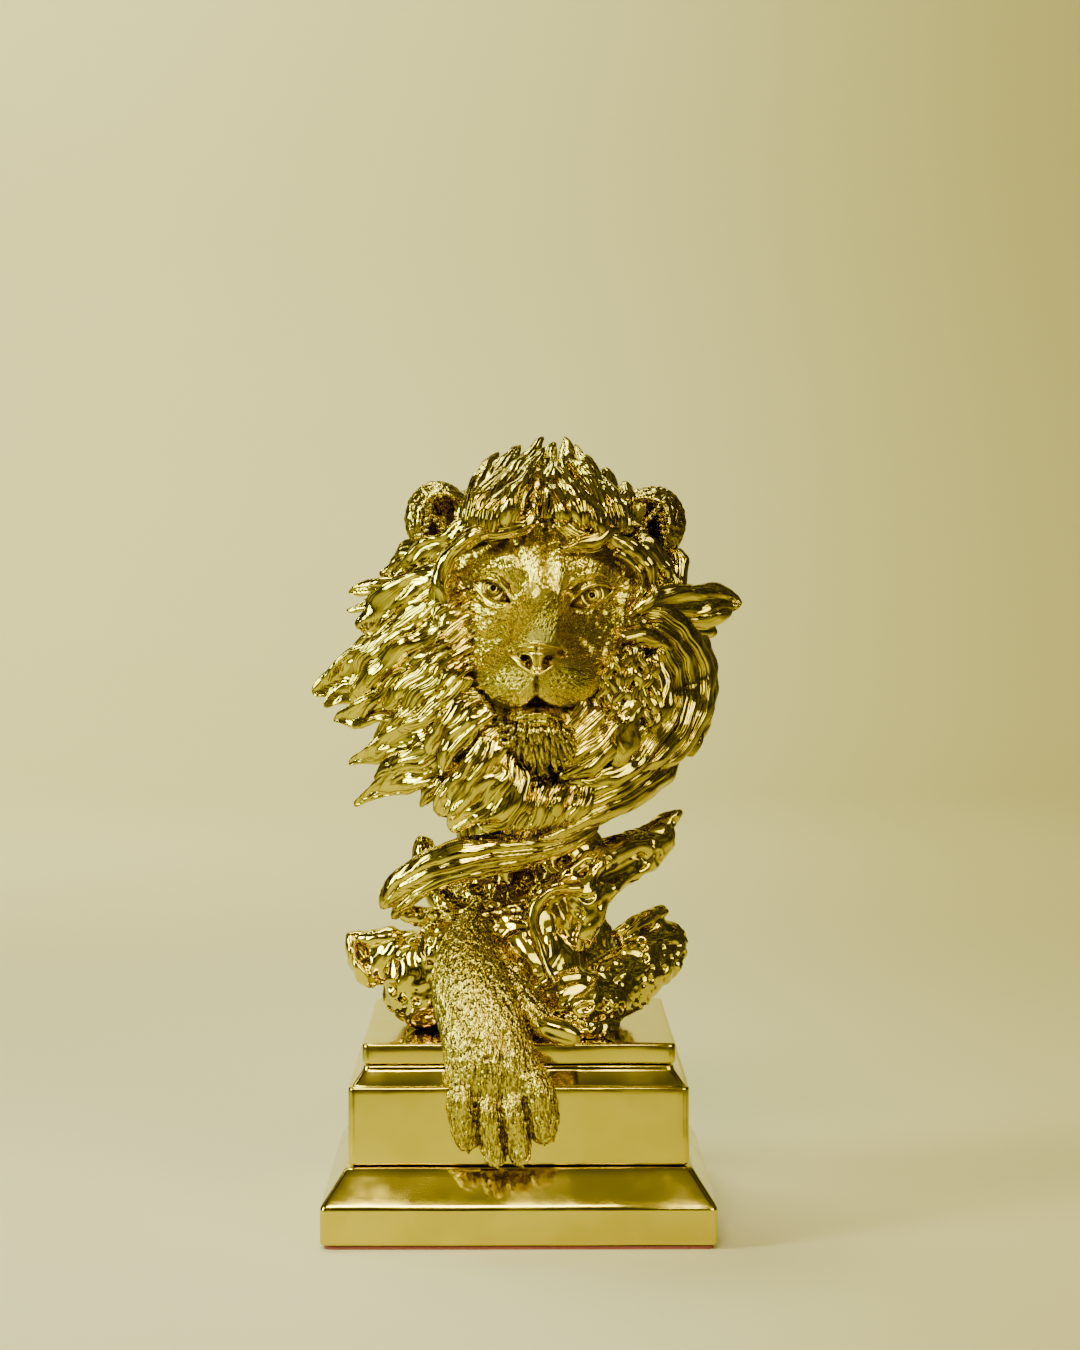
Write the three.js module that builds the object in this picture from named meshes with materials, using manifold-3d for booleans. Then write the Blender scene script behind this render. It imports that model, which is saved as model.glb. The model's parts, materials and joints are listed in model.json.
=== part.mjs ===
// Lion figure trophy: a plated cast figure on a stepped square plinth.
// Millimetres, +Z up, the lion looks along -Y. The origin is the middle of the felt's underside.
// The figure is cast in sections (rock, neck, foreleg, head, ears and locks of mane), bonded and
// pinned together, and one tie rod pulls it down onto the three tiers of the plinth.
// Names with left and right are as seen by someone who faces the lion: left is -X.
import * as THREE from "three";
import { mergeVertices } from "three/addons/utils/BufferGeometryUtils.js";
import Module from "manifold-3d";

const wasm = await Module();
wasm.setup();

// ---------------------------------------------------------------- driving dimensions, mm

const GAP = 0.3; // left between pieces that touch, for the bond line and the plating

const FELT_INSET = 2; // the felt stops this far inside the foot's edge
const FELT_THICKNESS = 1.5;

const FOOT_WIDTH = 176;
const FOOT_EDGE_HEIGHT = 17; // the upright edge of the lowest tier
const SHOULDER_HEIGHT = 16; // the sloping face above it
const BLOCK_WIDTH = 152;
const BLOCK_HEIGHT = 35; // the upright face of the middle tier
const COVE_HEIGHT = 9; // the hollow moulding above it
const COVE_DEPTH = 7;
const CAP_WIDTH = 140;
const CAP_HEIGHT = 9.5;
const PLINTH_CORNER = 3; // corner radius of every tier

const BOARD_WIDTH = 124; // closing board under the plinth
const BOARD_THICKNESS = 5;
const SCREW_INSET = 8; // from the edge of the board
const SCREW_LENGTH = 11;
const SCREW_RADIUS = 1.6;
const SCREW_HEAD_RADIUS = 3.4;
const BALLAST_WIDTH = 96;
const BALLAST_THICKNESS = 10;

const ROD_RADIUS = 4;
const ROD_TOP = 96; // above the plinth
const NUT_ACROSS = 13;
const NUT_HEIGHT = 6.5;
const WASHER_RADIUS = 12;
const WASHER_THICKNESS = 2;
const INSERT_RADIUS = 8;
const INSERT_LENGTH = 16;
const DOWEL_RADIUS = 2.5;
const DOWEL_LENGTH = 14;
const DOWEL_OFFSET = 26; // of the two anti-turn dowels from the rod
const HEAD_PIN_RADIUS = 5;

const FIGURE_HEIGHT = 274; // from the plinth's top to the tip of the crown tuft
const DRAWN_HEIGHT = 274; // the height that the figure's points below are drawn at
const PAW_DROP = 51; // how far the paw hangs below the plinth's top
const LEG_THICKNESS = 12; // half the depth of the foreleg where it lies on the plinth

// ---------------------------------------------------------------- heights that follow

const footBottom = FELT_THICKNESS + GAP;
const footShoulder = footBottom + FOOT_EDGE_HEIGHT;
const footTop = footShoulder + SHOULDER_HEIGHT;
const blockBottom = footTop + GAP;
const blockShoulder = blockBottom + BLOCK_HEIGHT;
const blockTop = blockShoulder + COVE_HEIGHT;
const capBottom = blockTop + GAP;
const plinthTop = capBottom + CAP_HEIGHT;
const figureScale = FIGURE_HEIGHT / DRAWN_HEIGHT;
const boardTop = footBottom + BOARD_THICKNESS;
const ballastBottom = boardTop + GAP;
const ballastTop = ballastBottom + BALLAST_THICKNESS;
const nutTop = ballastTop - GAP;

// A point of the figure, drawn from the middle of the plinth's top.
function at([x, y, z]) {
  return new THREE.Vector3(x, y, z)
    .multiplyScalar(figureScale)
    .add(new THREE.Vector3(0, 0, plinthTop));
}

// ---------------------------------------------------------------- solids

function toSolid(geometry) {
  const bare = geometry.index ? geometry.toNonIndexed() : geometry.clone();
  bare.deleteAttribute("normal");
  bare.deleteAttribute("uv");
  const merged = mergeVertices(bare, 1e-4);
  const made = new wasm.Manifold(
    new wasm.Mesh({
      numProp: 3,
      vertProperties: new Float32Array(merged.attributes.position.array),
      triVerts: new Uint32Array(merged.index.array),
    }),
  );
  return made;
}

function toGeometry(made) {
  const mesh = made.getMesh();
  return new THREE.BufferGeometry()
    .setAttribute("position", new THREE.BufferAttribute(mesh.vertProperties, 3))
    .setIndex(new THREE.BufferAttribute(mesh.triVerts, 1));
}

// Closes a stack of rings, all with the same number of points and anticlockwise seen from the
// stack's far end, with a point in the middle of each end.
function stack(rings, first, last) {
  const sides = rings[0].length;
  const points = [first, ...rings.flat(), last];
  const end = points.length - 1;
  const faces = [];
  for (let k = 0; k < sides; k++) {
    const next = (k + 1) % sides;
    faces.push(0, 1 + next, 1 + k);
    faces.push(end, end - sides + k, end - sides + next);
    for (let r = 0; r + 1 < rings.length; r++) {
      const low = 1 + r * sides;
      const high = low + sides;
      faces.push(low + k, low + next, high + next);
      faces.push(low + k, high + next, high + k);
    }
  }
  const geometry = new THREE.BufferGeometry();
  geometry.setFromPoints(points);
  geometry.setIndex(faces);
  return toSolid(geometry);
}

// A square tier with rounded corners. The profile is a list of [half width, height], bottom first.
function tier(profile, grow = 0) {
  const arcSteps = 2;
  const ring = ([half, z]) => {
    const points = [];
    for (let corner = 0; corner < 4; corner++) {
      const turn = (corner * Math.PI) / 2;
      const [sx, sy] = [
        [1, 1],
        [-1, 1],
        [-1, -1],
        [1, -1],
      ][corner];
      const inner = half + grow - PLINTH_CORNER;
      for (let k = 0; k <= arcSteps; k++) {
        const angle = turn + (k / arcSteps) * (Math.PI / 2);
        points.push(
          new THREE.Vector3(
            sx * inner + PLINTH_CORNER * Math.cos(angle),
            sy * inner + PLINTH_CORNER * Math.sin(angle),
            z,
          ),
        );
      }
    }
    return points;
  };
  const grown = profile.map(([half, z], i) => {
    const isEnd = i === 0 ? -grow : i === profile.length - 1 ? grow : 0;
    return [half, z + isEnd];
  });
  const low = new THREE.Vector3(0, 0, grown[0][1]);
  const high = new THREE.Vector3(0, 0, grown[grown.length - 1][1]);
  return stack(grown.map(ring), low, high);
}

// A round bar or a prism between two points.
function bar(from, to, radius, grow = 0, sides = 16) {
  const axis = to.clone().sub(from);
  const length = axis.length() + 2 * grow;
  const middle = from.clone().add(to).multiplyScalar(0.5);
  const made = new THREE.CylinderGeometry(radius + grow, radius + grow, length, sides);
  made.applyQuaternion(
    new THREE.Quaternion().setFromUnitVectors(new THREE.Vector3(0, 1, 0), axis.normalize()),
  );
  made.translate(middle.x, middle.y, middle.z);
  return toSolid(made);
}

// A square plate.
function plate(width, bottom, top, grow = 0) {
  const made = new THREE.BoxGeometry(width + 2 * grow, width + 2 * grow, top - bottom + 2 * grow);
  made.translate(0, 0, (bottom + top) / 2);
  return toSolid(made);
}

// A lock of mane or a limb: an oval section carried along a smooth line. Each station is
// [x, y, z, half width, half thickness]; the thickness points along `facing`.
function lock(stations, { facing = [0, -1, 0], sides = 10, steps = 2, grow = 0 } = {}) {
  const line = new THREE.CatmullRomCurve3(stations.map((s) => at(s)));
  const count = (stations.length - 1) * steps;
  const front = new THREE.Vector3(...facing);
  const sizes = new THREE.CatmullRomCurve3(
    stations.map(([, , , wide, thick]) => new THREE.Vector3(wide, thick, 0)),
  );
  const rings = [];
  for (let i = 0; i <= count; i++) {
    const middle = line.getPoint(i / count);
    const along = line.getTangent(i / count);
    const across = new THREE.Vector3().crossVectors(along, front).normalize();
    const out = new THREE.Vector3().crossVectors(across, along).normalize();
    const { x: wide, y: thick } = sizes.getPoint(i / count).multiplyScalar(figureScale);
    const ring = [];
    for (let k = 0; k < sides; k++) {
      const angle = (-2 * Math.PI * k) / sides;
      ring.push(
        middle
          .clone()
          .addScaledVector(across, (wide + grow) * Math.cos(angle))
          .addScaledVector(out, (thick + grow) * Math.sin(angle)),
      );
    }
    rings.push(ring);
  }
  const reach = (station) => 0.5 * Math.min(station[3], station[4]) * figureScale + grow;
  const first = line.getPoint(0).addScaledVector(line.getTangent(0), -reach(stations[0]));
  const last = line
    .getPoint(1)
    .addScaledVector(line.getTangent(1), reach(stations[stations.length - 1]));
  return stack(rings, first, last);
}

// An egg: centre [x, y, z] and half sizes [x, y, z] in the figure's drawn points.
function egg(centre, half, grow = 0, turnY = 0) {
  const made = new THREE.SphereGeometry(1, 14, 9);
  made.rotateX(Math.PI / 2);
  made.scale(...half.map((h) => h * figureScale + grow));
  made.rotateY(turnY);
  const { x, y, z } = at(centre);
  made.translate(x, y, z);
  return toSolid(made);
}

const join = (solids) => solids.reduce((a, b) => a.add(b));

// ---------------------------------------------------------------- the plinth

const upright = (half, low, high) => [
  [half, low],
  [half, high],
];

const feltSheet = (grow) => tier(upright(FOOT_WIDTH / 2 - FELT_INSET, 0, FELT_THICKNESS), grow);

const plinthFoot = (grow) =>
  tier(
    [...upright(FOOT_WIDTH / 2, footBottom, footShoulder), [BLOCK_WIDTH / 2 + 1, footTop]],
    grow,
  );

// The cove is a quarter round, hollow side outwards.
function plinthBlock(grow) {
  const cove = [];
  const coveSteps = 4;
  for (let k = 1; k <= coveSteps; k++) {
    const angle = ((k / coveSteps) * Math.PI) / 2;
    cove.push([
      BLOCK_WIDTH / 2 - COVE_DEPTH * Math.sin(angle),
      blockTop - COVE_HEIGHT * Math.cos(angle),
    ]);
  }
  return tier([...upright(BLOCK_WIDTH / 2, blockBottom, blockShoulder), ...cove], grow);
}

const plinthCap = (grow) => tier(upright(CAP_WIDTH / 2, capBottom, plinthTop), grow);

const closingBoard = (grow) => plate(BOARD_WIDTH, footBottom, boardTop, grow);

const ballastPlate = (grow) => plate(BALLAST_WIDTH, ballastBottom, ballastTop, grow);

// Countersunk: the head is flush with the board's underside.
function boardScrew(sx, sy) {
  return (grow) => {
    const place = BOARD_WIDTH / 2 - SCREW_INSET;
    const low = new THREE.Vector3(sx * place, sy * place, footBottom);
    const high = low.clone().setZ(footBottom + SCREW_LENGTH);
    const headHeight = SCREW_HEAD_RADIUS - SCREW_RADIUS;
    const head = new THREE.CylinderGeometry(
      SCREW_RADIUS + grow,
      SCREW_HEAD_RADIUS + grow,
      headHeight + 2 * grow,
      12,
    );
    head.rotateX(Math.PI / 2);
    head.translate(low.x, low.y, low.z + headHeight / 2);
    return join([toSolid(head), bar(low, high, SCREW_RADIUS, grow, 12)]);
  };
}

// ---------------------------------------------------------------- the hardware inside

const onAxis = (z, x = 0) => new THREE.Vector3(x, 0, z);

const washerTop = nutTop + WASHER_THICKNESS + GAP;
const rodBottom = nutTop - NUT_HEIGHT - 1;
const rodTop = plinthTop + ROD_TOP * figureScale;

const tieRod = (grow) => bar(onAxis(rodBottom), onAxis(rodTop), ROD_RADIUS, grow);

const rodNut = (grow) =>
  bar(onAxis(nutTop - NUT_HEIGHT), onAxis(nutTop), NUT_ACROSS / Math.sqrt(3), grow, 6);

const rodWasher = (grow) =>
  bar(onAxis(nutTop + GAP), onAxis(washerTop), WASHER_RADIUS, grow, 24);

const neckInsert = (grow) =>
  bar(onAxis(rodTop - INSERT_LENGTH), onAxis(rodTop - 2), INSERT_RADIUS, grow, 12);

const rockDowel = (side) => (grow) =>
  bar(
    onAxis(plinthTop - DOWEL_LENGTH / 2, side * DOWEL_OFFSET),
    onAxis(plinthTop + DOWEL_LENGTH / 2, side * DOWEL_OFFSET),
    DOWEL_RADIUS,
    grow,
    12,
  );

const headPin = (grow) => bar(at([2, 6, 106]), at([8, -8, 178]), HEAD_PIN_RADIUS, grow, 12);

// ---------------------------------------------------------------- the rock and the foreleg

const rockBase = (grow) =>
  join([
    egg([-2, 4, 20], [62, 52, 30], grow),
    egg([-8, -6, 40], [40, 38, 30], grow),
    egg([20, -28, 16], [30, 28, 18], grow),
  ]);

const rockKnob = (grow) =>
  lock(
    [
      [-38, -20, 34, 16, 18],
      [-55, -22, 32, 13, 16],
      [-68, -22, 32, 12, 13],
      [-77, -22, 37, 5, 6],
    ],
    { grow },
  );

const rockLimbUpper = (grow) =>
  lock(
    [
      [14, -24, 44, 22, 15],
      [34, -18, 62, 20, 12],
      [50, -8, 78, 14, 10],
      [72, 0, 93, 7, 7],
    ],
    { grow },
  );

const rockLimbLower = (grow) =>
  lock(
    [
      [22, -26, 14, 15, 18],
      [44, -14, 23, 17, 16],
      [62, 0, 33, 15, 14],
      [74, 6, 42, 9, 9],
    ],
    { grow },
  );

// The foreleg lies on the cap, bends over its front edge and hangs clear of the block.
const legFront = Math.max(BLOCK_WIDTH, CAP_WIDTH) / 2 + LEG_THICKNESS;

// Toes, left to right: [x, how far the tip stops short of the drop, half width]
const TOES = [
  [-26, 8, 7],
  [-14, 0, 7.5],
  [-1, 0, 7.5],
  [10, 10, 7],
];
const CLAW_SHARE = 0.45; // half width of a toe's tip against its knuckle

function foreleg(grow) {
  const drawn = (v) => v / figureScale;
  const front = -drawn(legFront);
  const drop = -drawn(PAW_DROP);
  const thick = drawn(LEG_THICKNESS);
  const leg = lock(
    [
      [-12, -36, 58, 15, 14],
      [-15, front + 24, 34, 18, 16],
      [-14, front + 4, 6, 24, thick + 2],
      [-10, front, 0.45 * drop, 23, thick],
      [-8, front, 0.72 * drop, 21, thick - 2],
    ],
    { grow, sides: 12 },
  );
  const toes = TOES.map(([x, short, wide]) =>
    lock(
      [
        [x * 0.9, front - 1, 0.55 * drop, wide, thick - 1],
        [x, front - 4, 0.72 * drop, wide, thick - 2],
        [x + 1, front - 2, drop + short + 3, wide * CLAW_SHARE, 0.5 * thick],
      ],
      { grow, sides: 8, steps: 2 },
    ),
  );
  return join([leg, ...toes]);
}

const dewclaw = (grow) =>
  lock(
    [
      [-2, -legFront / figureScale + 16, 26, 6, 7],
      [8, -legFront / figureScale + 6, 17, 7, 7],
      [18, -legFront / figureScale + 3, 9, 6, 6],
      [26, -legFront / figureScale, 4, 3.5, 3.5],
    ],
    { grow, sides: 8 },
  );

// ---------------------------------------------------------------- the neck

const neckColumn = (grow) =>
  lock(
    [
      [-6, 4, 46, 30, 28],
      [-8, 4, 70, 22, 22],
      [-2, 6, 96, 24, 24],
      [2, 6, 122, 30, 30],
    ],
    { grow, sides: 14 },
  );

// A broad lock that sweeps from the left round the front of the neck.
const neckSash = (grow) =>
  lock(
    [
      [-63, -36, 60, 5, 5],
      [-50, -40, 74, 11, 9],
      [-24, -38, 86, 14, 11],
      [8, -34, 88, 13, 11],
      [34, -26, 96, 9, 9],
    ],
    { grow },
  );

// ---------------------------------------------------------------- the head

const head = (grow) =>
  join([
    egg([12, -10, 200], [43, 44, 46], grow),
    egg([9, -38, 172], [34, 34, 30], grow),
    egg([8, -66, 160], [25, 27, 18], grow),
    lock(
      [
        [14, -44, 214, 17, 12],
        [12, -62, 196, 13, 12],
        [9, -82, 176, 13, 10],
      ],
      { grow },
    ),
  ]);

const lowerJaw = (grow) =>
  join([
    egg([5, -58, 138], [20, 24, 13], grow),
    lock(
      [
        [5, -62, 136, 15, 12],
        [6, -64, 122, 12, 10],
        [8, -62, 110, 5, 5],
      ],
      { grow, sides: 8 },
    ),
  ]);

// A cupped ear: a rounded shell hollowed from the front.
function ear(x, y, z, lean) {
  return (grow) => {
    const shell = egg([x, y, z], [17, 12, 21], grow, lean);
    if (grow) return shell;
    return shell.subtract(egg([x, y - 9, z + 1], [12, 11, 15], 0, lean));
  };
}

const crownTuft = (grow) =>
  join(
    [
      [-12, -9, 261],
      [2, 4, 268],
      [14, 20, 273],
      [24, 31, 264],
    ].map(([rootX, tipX, tipZ]) =>
      lock(
        [
          [rootX, -42, 236, 9, 8],
          [rootX + 0.3 * (tipX - rootX), -36, 248, 10, 9],
          [tipX, -14, tipZ - 3, 3, 4],
        ],
        { grow, sides: 8 },
      ),
    ),
  );

const crownBack = (grow) =>
  join([
    lock(
      [
        [34, -22, 232, 10, 9],
        [38, -12, 250, 8, 8],
        [40, -4, 258, 4, 4],
      ],
      { grow, sides: 8 },
    ),
    lock(
      [
        [40, 0, 226, 14, 10],
        [50, 6, 240, 12, 8],
        [54, 10, 248, 6, 5],
      ],
      { grow, sides: 8 },
    ),
  ]);

// ---------------------------------------------------------------- the mane
// Each section is a list of locks. Each lock is a list of stations for lock().

const MANE = {
  mane_brow_left: [
    [
      [-4, -46, 232, 7, 6],
      [-22, -44, 224, 7, 6],
      [-34, -36, 206, 6, 6],
      [-38, -28, 186, 6, 6],
    ],
  ],
  mane_brow_right: [
    [
      [30, -46, 230, 7, 6],
      [48, -40, 220, 7, 6],
      [60, -30, 204, 6, 6],
      [58, -30, 186, 6, 6],
    ],
  ],
  mane_left_upper: [
    [
      [-32, -20, 222, 8, 7],
      [-48, -12, 214, 8, 6],
      [-58, -8, 206, 6, 5],
    ],
    [
      [-40, 0, 206, 12, 12],
      [-62, 10, 202, 9, 9],
      [-79, 14, 198, 4, 4],
    ],
    [
      [-36, -18, 196, 11, 10],
      [-56, -14, 192, 11, 9],
      [-72, -10, 185, 6, 6],
    ],
  ],
  mane_left_middle: [
    [
      [-30, -34, 178, 17, 14],
      [-60, -20, 170, 16, 12],
      [-80, -8, 160, 10, 8],
      [-92, -2, 154, 4, 4],
    ],
    [
      [-30, -40, 160, 14, 12],
      [-58, -28, 152, 10, 10],
      [-80, -18, 145, 5, 5],
    ],
  ],
  mane_left_lower: [
    [
      [-28, -34, 136, 16, 14],
      [-52, -18, 130, 12, 10],
      [-74, -6, 122, 4, 4],
    ],
    [
      [-28, -30, 122, 14, 12],
      [-52, -18, 112, 9, 9],
      [-76, -10, 104, 4, 4],
    ],
  ],
  mane_chest_left: [
    [
      [-14, -52, 140, 16, 12],
      [-24, -56, 122, 15, 12],
      [-32, -50, 106, 7, 7],
    ],
  ],
  mane_throat: [
    [
      [6, -48, 122, 20, 14],
      [2, -48, 106, 20, 14],
      [-6, -40, 96, 12, 9],
    ],
  ],
  mane_right_horn: [
    [
      [52, -18, 182, 14, 12],
      [76, -8, 190, 9, 9],
      [100, -2, 193, 6, 6],
    ],
  ],
  mane_right_cheek: [
    [
      [54, -24, 184, 14, 14],
      [66, -20, 162, 17, 15],
      [58, -26, 138, 18, 15],
      [36, -38, 124, 15, 13],
    ],
  ],
  mane_right_outer: [
    [
      [72, 2, 186, 16, 16],
      [80, 8, 162, 12, 16],
      [78, 4, 138, 8, 12],
    ],
  ],
  mane_right_crescent: [
    [
      [76, -4, 130, 9, 8],
      [66, -22, 112, 12, 10],
      [42, -36, 102, 13, 11],
      [18, -40, 98, 10, 9],
    ],
  ],
};

// What fills the mane behind the face, seen only from the sides and the back.
const maneNape = (grow) => egg([2, 22, 140], [58, 36, 38], grow);

// The two halves of the back of the mane meet behind the head.
const maneBack = (side) => (grow) =>
  join([
    egg([4 + side * 28, 24, 192], [42, 40, 54], grow),
    egg([4 + side * 30, 26, 158], [38, 36, 36], grow),
  ]);

const maneSection = (locks) => (grow) => join(locks.map((stations) => lock(stations, { grow })));

// ---------------------------------------------------------------- the assembly
// Every piece is cut back from all the pieces before it in this list, grown by the gap, so a piece
// fits round its neighbours whatever their sizes. Each entry is [name, finish, how it is made].

const FINISHES = {
  plated: { color: 0xd0a62c, roughness: 0.18, metalness: 1 },
  steel: { color: 0xa9adb2, roughness: 0.35, metalness: 1 },
  iron: { color: 0x4a4b4e, roughness: 0.6, metalness: 0.8 },
  board: { color: 0x8a6a45, roughness: 0.8, metalness: 0 },
  felt: { color: 0x6b2a1e, roughness: 0.95, metalness: 0 },
};

const PIECES = [
  ["tie_rod", "steel", tieRod],
  ["rod_nut", "steel", rodNut],
  ["rod_washer", "steel", rodWasher],
  ["neck_insert", "steel", neckInsert],
  ["rock_dowel_left", "steel", rockDowel(-1)],
  ["rock_dowel_right", "steel", rockDowel(1)],
  ["head_pin", "steel", headPin],
  ["board_screw_front_left", "steel", boardScrew(-1, -1)],
  ["board_screw_front_right", "steel", boardScrew(1, -1)],
  ["board_screw_back_left", "steel", boardScrew(-1, 1)],
  ["board_screw_back_right", "steel", boardScrew(1, 1)],
  ["base_felt", "felt", feltSheet],
  ["closing_board", "board", closingBoard],
  ["ballast_plate", "iron", ballastPlate],
  ["plinth_foot", "plated", plinthFoot],
  ["plinth_block", "plated", plinthBlock],
  ["plinth_cap", "plated", plinthCap],
  ["foreleg", "plated", foreleg],
  ["dewclaw", "plated", dewclaw],
  ["neck_column", "plated", neckColumn],
  ["head", "plated", head],
  ["lower_jaw", "plated", lowerJaw],
  ["ear_left", "plated", ear(-37, -10, 230, -0.25)],
  ["ear_right", "plated", ear(60, -8, 228, 0.3)],
  ["neck_sash", "plated", neckSash],
  ["crown_tuft", "plated", crownTuft],
  ["crown_back", "plated", crownBack],
  ...Object.entries(MANE).map(([name, locks]) => [name, "plated", maneSection(locks)]),
  ["mane_nape", "plated", maneNape],
  ["mane_back_left", "plated", maneBack(-1)],
  ["mane_back_right", "plated", maneBack(1)],
  ["rock_limb_upper", "plated", rockLimbUpper],
  ["rock_limb_lower", "plated", rockLimbLower],
  ["rock_knob", "plated", rockKnob],
  ["rock_base", "plated", rockBase],
];

// Cutting a piece round its neighbours can leave crumbs on their far side; only the body stays.
function body(made) {
  return made.decompose().reduce((a, b) => (b.volume() > a.volume() ? b : a));
}

const trophy = new THREE.Group();
const placed = [];
for (const [name, finish, make] of PIECES) {
  const made = body(placed.reduce((left, other) => left.subtract(other), make(0)));
  placed.push(make(GAP));
  const mesh = new THREE.Mesh(toGeometry(made), new THREE.MeshStandardMaterial(FINISHES[finish]));
  mesh.name = name;
  trophy.add(mesh);
}

export default trophy;
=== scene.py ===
import math
import json

import bpy
import numpy as np
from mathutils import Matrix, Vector


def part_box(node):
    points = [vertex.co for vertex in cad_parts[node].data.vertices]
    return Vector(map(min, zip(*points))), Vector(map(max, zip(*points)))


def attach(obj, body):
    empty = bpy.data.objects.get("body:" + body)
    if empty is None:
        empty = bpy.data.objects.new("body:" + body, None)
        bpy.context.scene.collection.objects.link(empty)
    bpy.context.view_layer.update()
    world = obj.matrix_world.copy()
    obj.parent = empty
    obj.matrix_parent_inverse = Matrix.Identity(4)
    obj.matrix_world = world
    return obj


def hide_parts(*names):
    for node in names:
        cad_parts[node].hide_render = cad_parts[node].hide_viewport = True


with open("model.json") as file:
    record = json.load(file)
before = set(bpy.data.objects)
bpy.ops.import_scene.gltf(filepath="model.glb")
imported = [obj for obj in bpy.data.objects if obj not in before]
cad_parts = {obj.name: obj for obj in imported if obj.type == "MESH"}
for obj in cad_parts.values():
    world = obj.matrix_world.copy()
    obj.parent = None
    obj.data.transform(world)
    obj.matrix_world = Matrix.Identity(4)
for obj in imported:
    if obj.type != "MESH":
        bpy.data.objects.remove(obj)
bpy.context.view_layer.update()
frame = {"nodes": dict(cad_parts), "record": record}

MM = 0.001

# ---------------------------------------------------------------------------- standing place
# A matt ivory floor that runs up into a plain wall a long way behind, in a lemon-tinted room with
# five lamps. Polished gold looks like what it mirrors, so painted shade darkens the floor in front
# of the trophy and to the sides of the camera's view, painted warm shade tints it to the right, and
# the room is patchy.


class Socket:
    """A shader value that does arithmetic by adding Math nodes."""

    def __init__(self, tree, link):
        self.tree, self.link = tree, link

    def maths(self, operation, *values):
        return node(self.tree, "ShaderNodeMath", dict(operation=operation), *values)

    def __add__(self, other):
        return self.maths("ADD", self, other)

    __radd__ = __add__

    def __rsub__(self, other):
        return self.maths("SUBTRACT", other, self)

    def __mul__(self, other):
        return self.maths("MULTIPLY", self, other)

    __rmul__ = __mul__

    def __truediv__(self, other):
        return self.maths("DIVIDE", self, other)

    def between(self, low, high):
        """0 below low, 1 above high, smooth in between."""
        return node(
            self.tree,
            "ShaderNodeMapRange",
            dict(interpolation_type="SMOOTHSTEP"),
            Value=self,
            From_Min=low,
            From_Max=high,
        )


def node(tree, kind, settings=None, *values, out=None, **named):
    """Adds a node: its settings first, then its sockets by order or by name. It returns the output
    with the name in `out`, or else the first one."""
    made = tree.nodes.new(kind)
    for key, value in (settings or {}).items():
        setattr(made, key, value)
    sockets = [s for s in made.inputs if s.enabled]
    pairs = list(zip(sockets, values))
    for key, value in named.items():
        name = key.replace("_", " ")
        pairs.append((next(s for s in sockets if s.name == name), value))
    for socket, value in pairs:
        if isinstance(value, Socket):
            tree.links.new(value.link, socket)
        else:
            if socket.type == "RGBA" and len(value) == 3:
                value = (*value, 1)
            socket.default_value = value
    return Socket(tree, next(s for s in made.outputs if s.enabled and out in (None, s.name)))


def blend(tree, share, first, second):
    """A colour that goes from the first to the second as the share goes from 0 to 1."""
    return node(tree, "ShaderNodeMix", dict(data_type="RGBA"), Factor=share, A=first, B=second)


def noise(tree, place, scale, detail):
    return node(tree, "ShaderNodeTexNoise", None, Vector=place, Scale=scale, Detail=detail)


def parts_of(tree, vector):
    """The x, y and z of a vector."""
    split = node(tree, "ShaderNodeSeparateXYZ", None, vector).link.node
    return [Socket(tree, output) for output in split.outputs]


def material(name):
    made = bpy.data.materials.new(name)
    made.use_nodes = True
    return made, made.node_tree, made.node_tree.nodes["Principled BSDF"]


FLOOR_WIDTH, FLOOR_LENGTH, FLOOR_FRONT = 14, 9.0, -3.0
FLOOR_END, BEND = 2.4, 0.8  # where the floor starts to turn up into the wall, and its radius
CAMERA_DISTANCE, CAMERA_HEIGHT = 1.45, 0.3135
BEARING_FROM = 1.5  # bearings on the floor are taken from just behind the camera
IVORY, PALE_IVORY = (0.65, 0.625, 0.245), (0.71, 0.685, 0.295)
# the first of these is painted warm shade for the floor, the second is painted shade
WARM_SHADE_IVORY, PAINTED_SHADE_IVORY = (0.58, 0.525, 0.14), (0.16, 0.135, 0.04)

bpy.ops.object.select_all(action="DESELECT")
bpy.ops.mesh.primitive_grid_add(x_subdivisions=2, y_subdivisions=60, size=1)
floor = bpy.context.object
floor.name = "floor"
floor_points = np.empty(len(floor.data.vertices) * 3)
floor.data.vertices.foreach_get("co", floor_points)
floor_points = floor_points.reshape(-1, 3)
run = (floor_points[:, 1] + 0.5) * FLOOR_LENGTH + FLOOR_FRONT
turn = np.clip((run - FLOOR_END) / (BEND * math.pi / 2), 0, 1) * math.pi / 2
past = np.clip(run - FLOOR_END - BEND * math.pi / 2, 0, None)
floor_points[:, 0] *= FLOOR_WIDTH
floor_points[:, 1] = np.minimum(run, FLOOR_END) + BEND * np.sin(turn)
floor_points[:, 2] = BEND * (1 - np.cos(turn)) + past
floor.data.vertices.foreach_set("co", floor_points.ravel())
for face in floor.data.polygons:
    face.use_smooth = True
floor_look, tree, shader = material("ivory_floor")
place = node(tree, "ShaderNodeTexCoord", out="Object")
cloud = noise(tree, place, 1.6, 3.0)
tone = blend(tree, cloud, IVORY, PALE_IVORY)
floor_x, floor_y, _ = parts_of(tree, place)
# painted shade: the floor is darkened in front of the trophy and beside the camera's line of view,
# for the gold to mirror
aside = floor_x.maths("ABSOLUTE", floor_x).between(0.10, 0.20)
ahead = floor_y.between(-0.27, -0.42) * aside
ahead = ahead.maths("MAXIMUM", ahead, floor_y.between(-0.66, -0.85))
bearing = floor_x / (floor_y + BEARING_FROM)
beside = bearing.maths("ABSOLUTE", bearing).between(0.20, 0.32) * floor_y.between(-1.4, -1.3)
ahead = ahead.maths("MAXIMUM", ahead, beside * 0.75)
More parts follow.
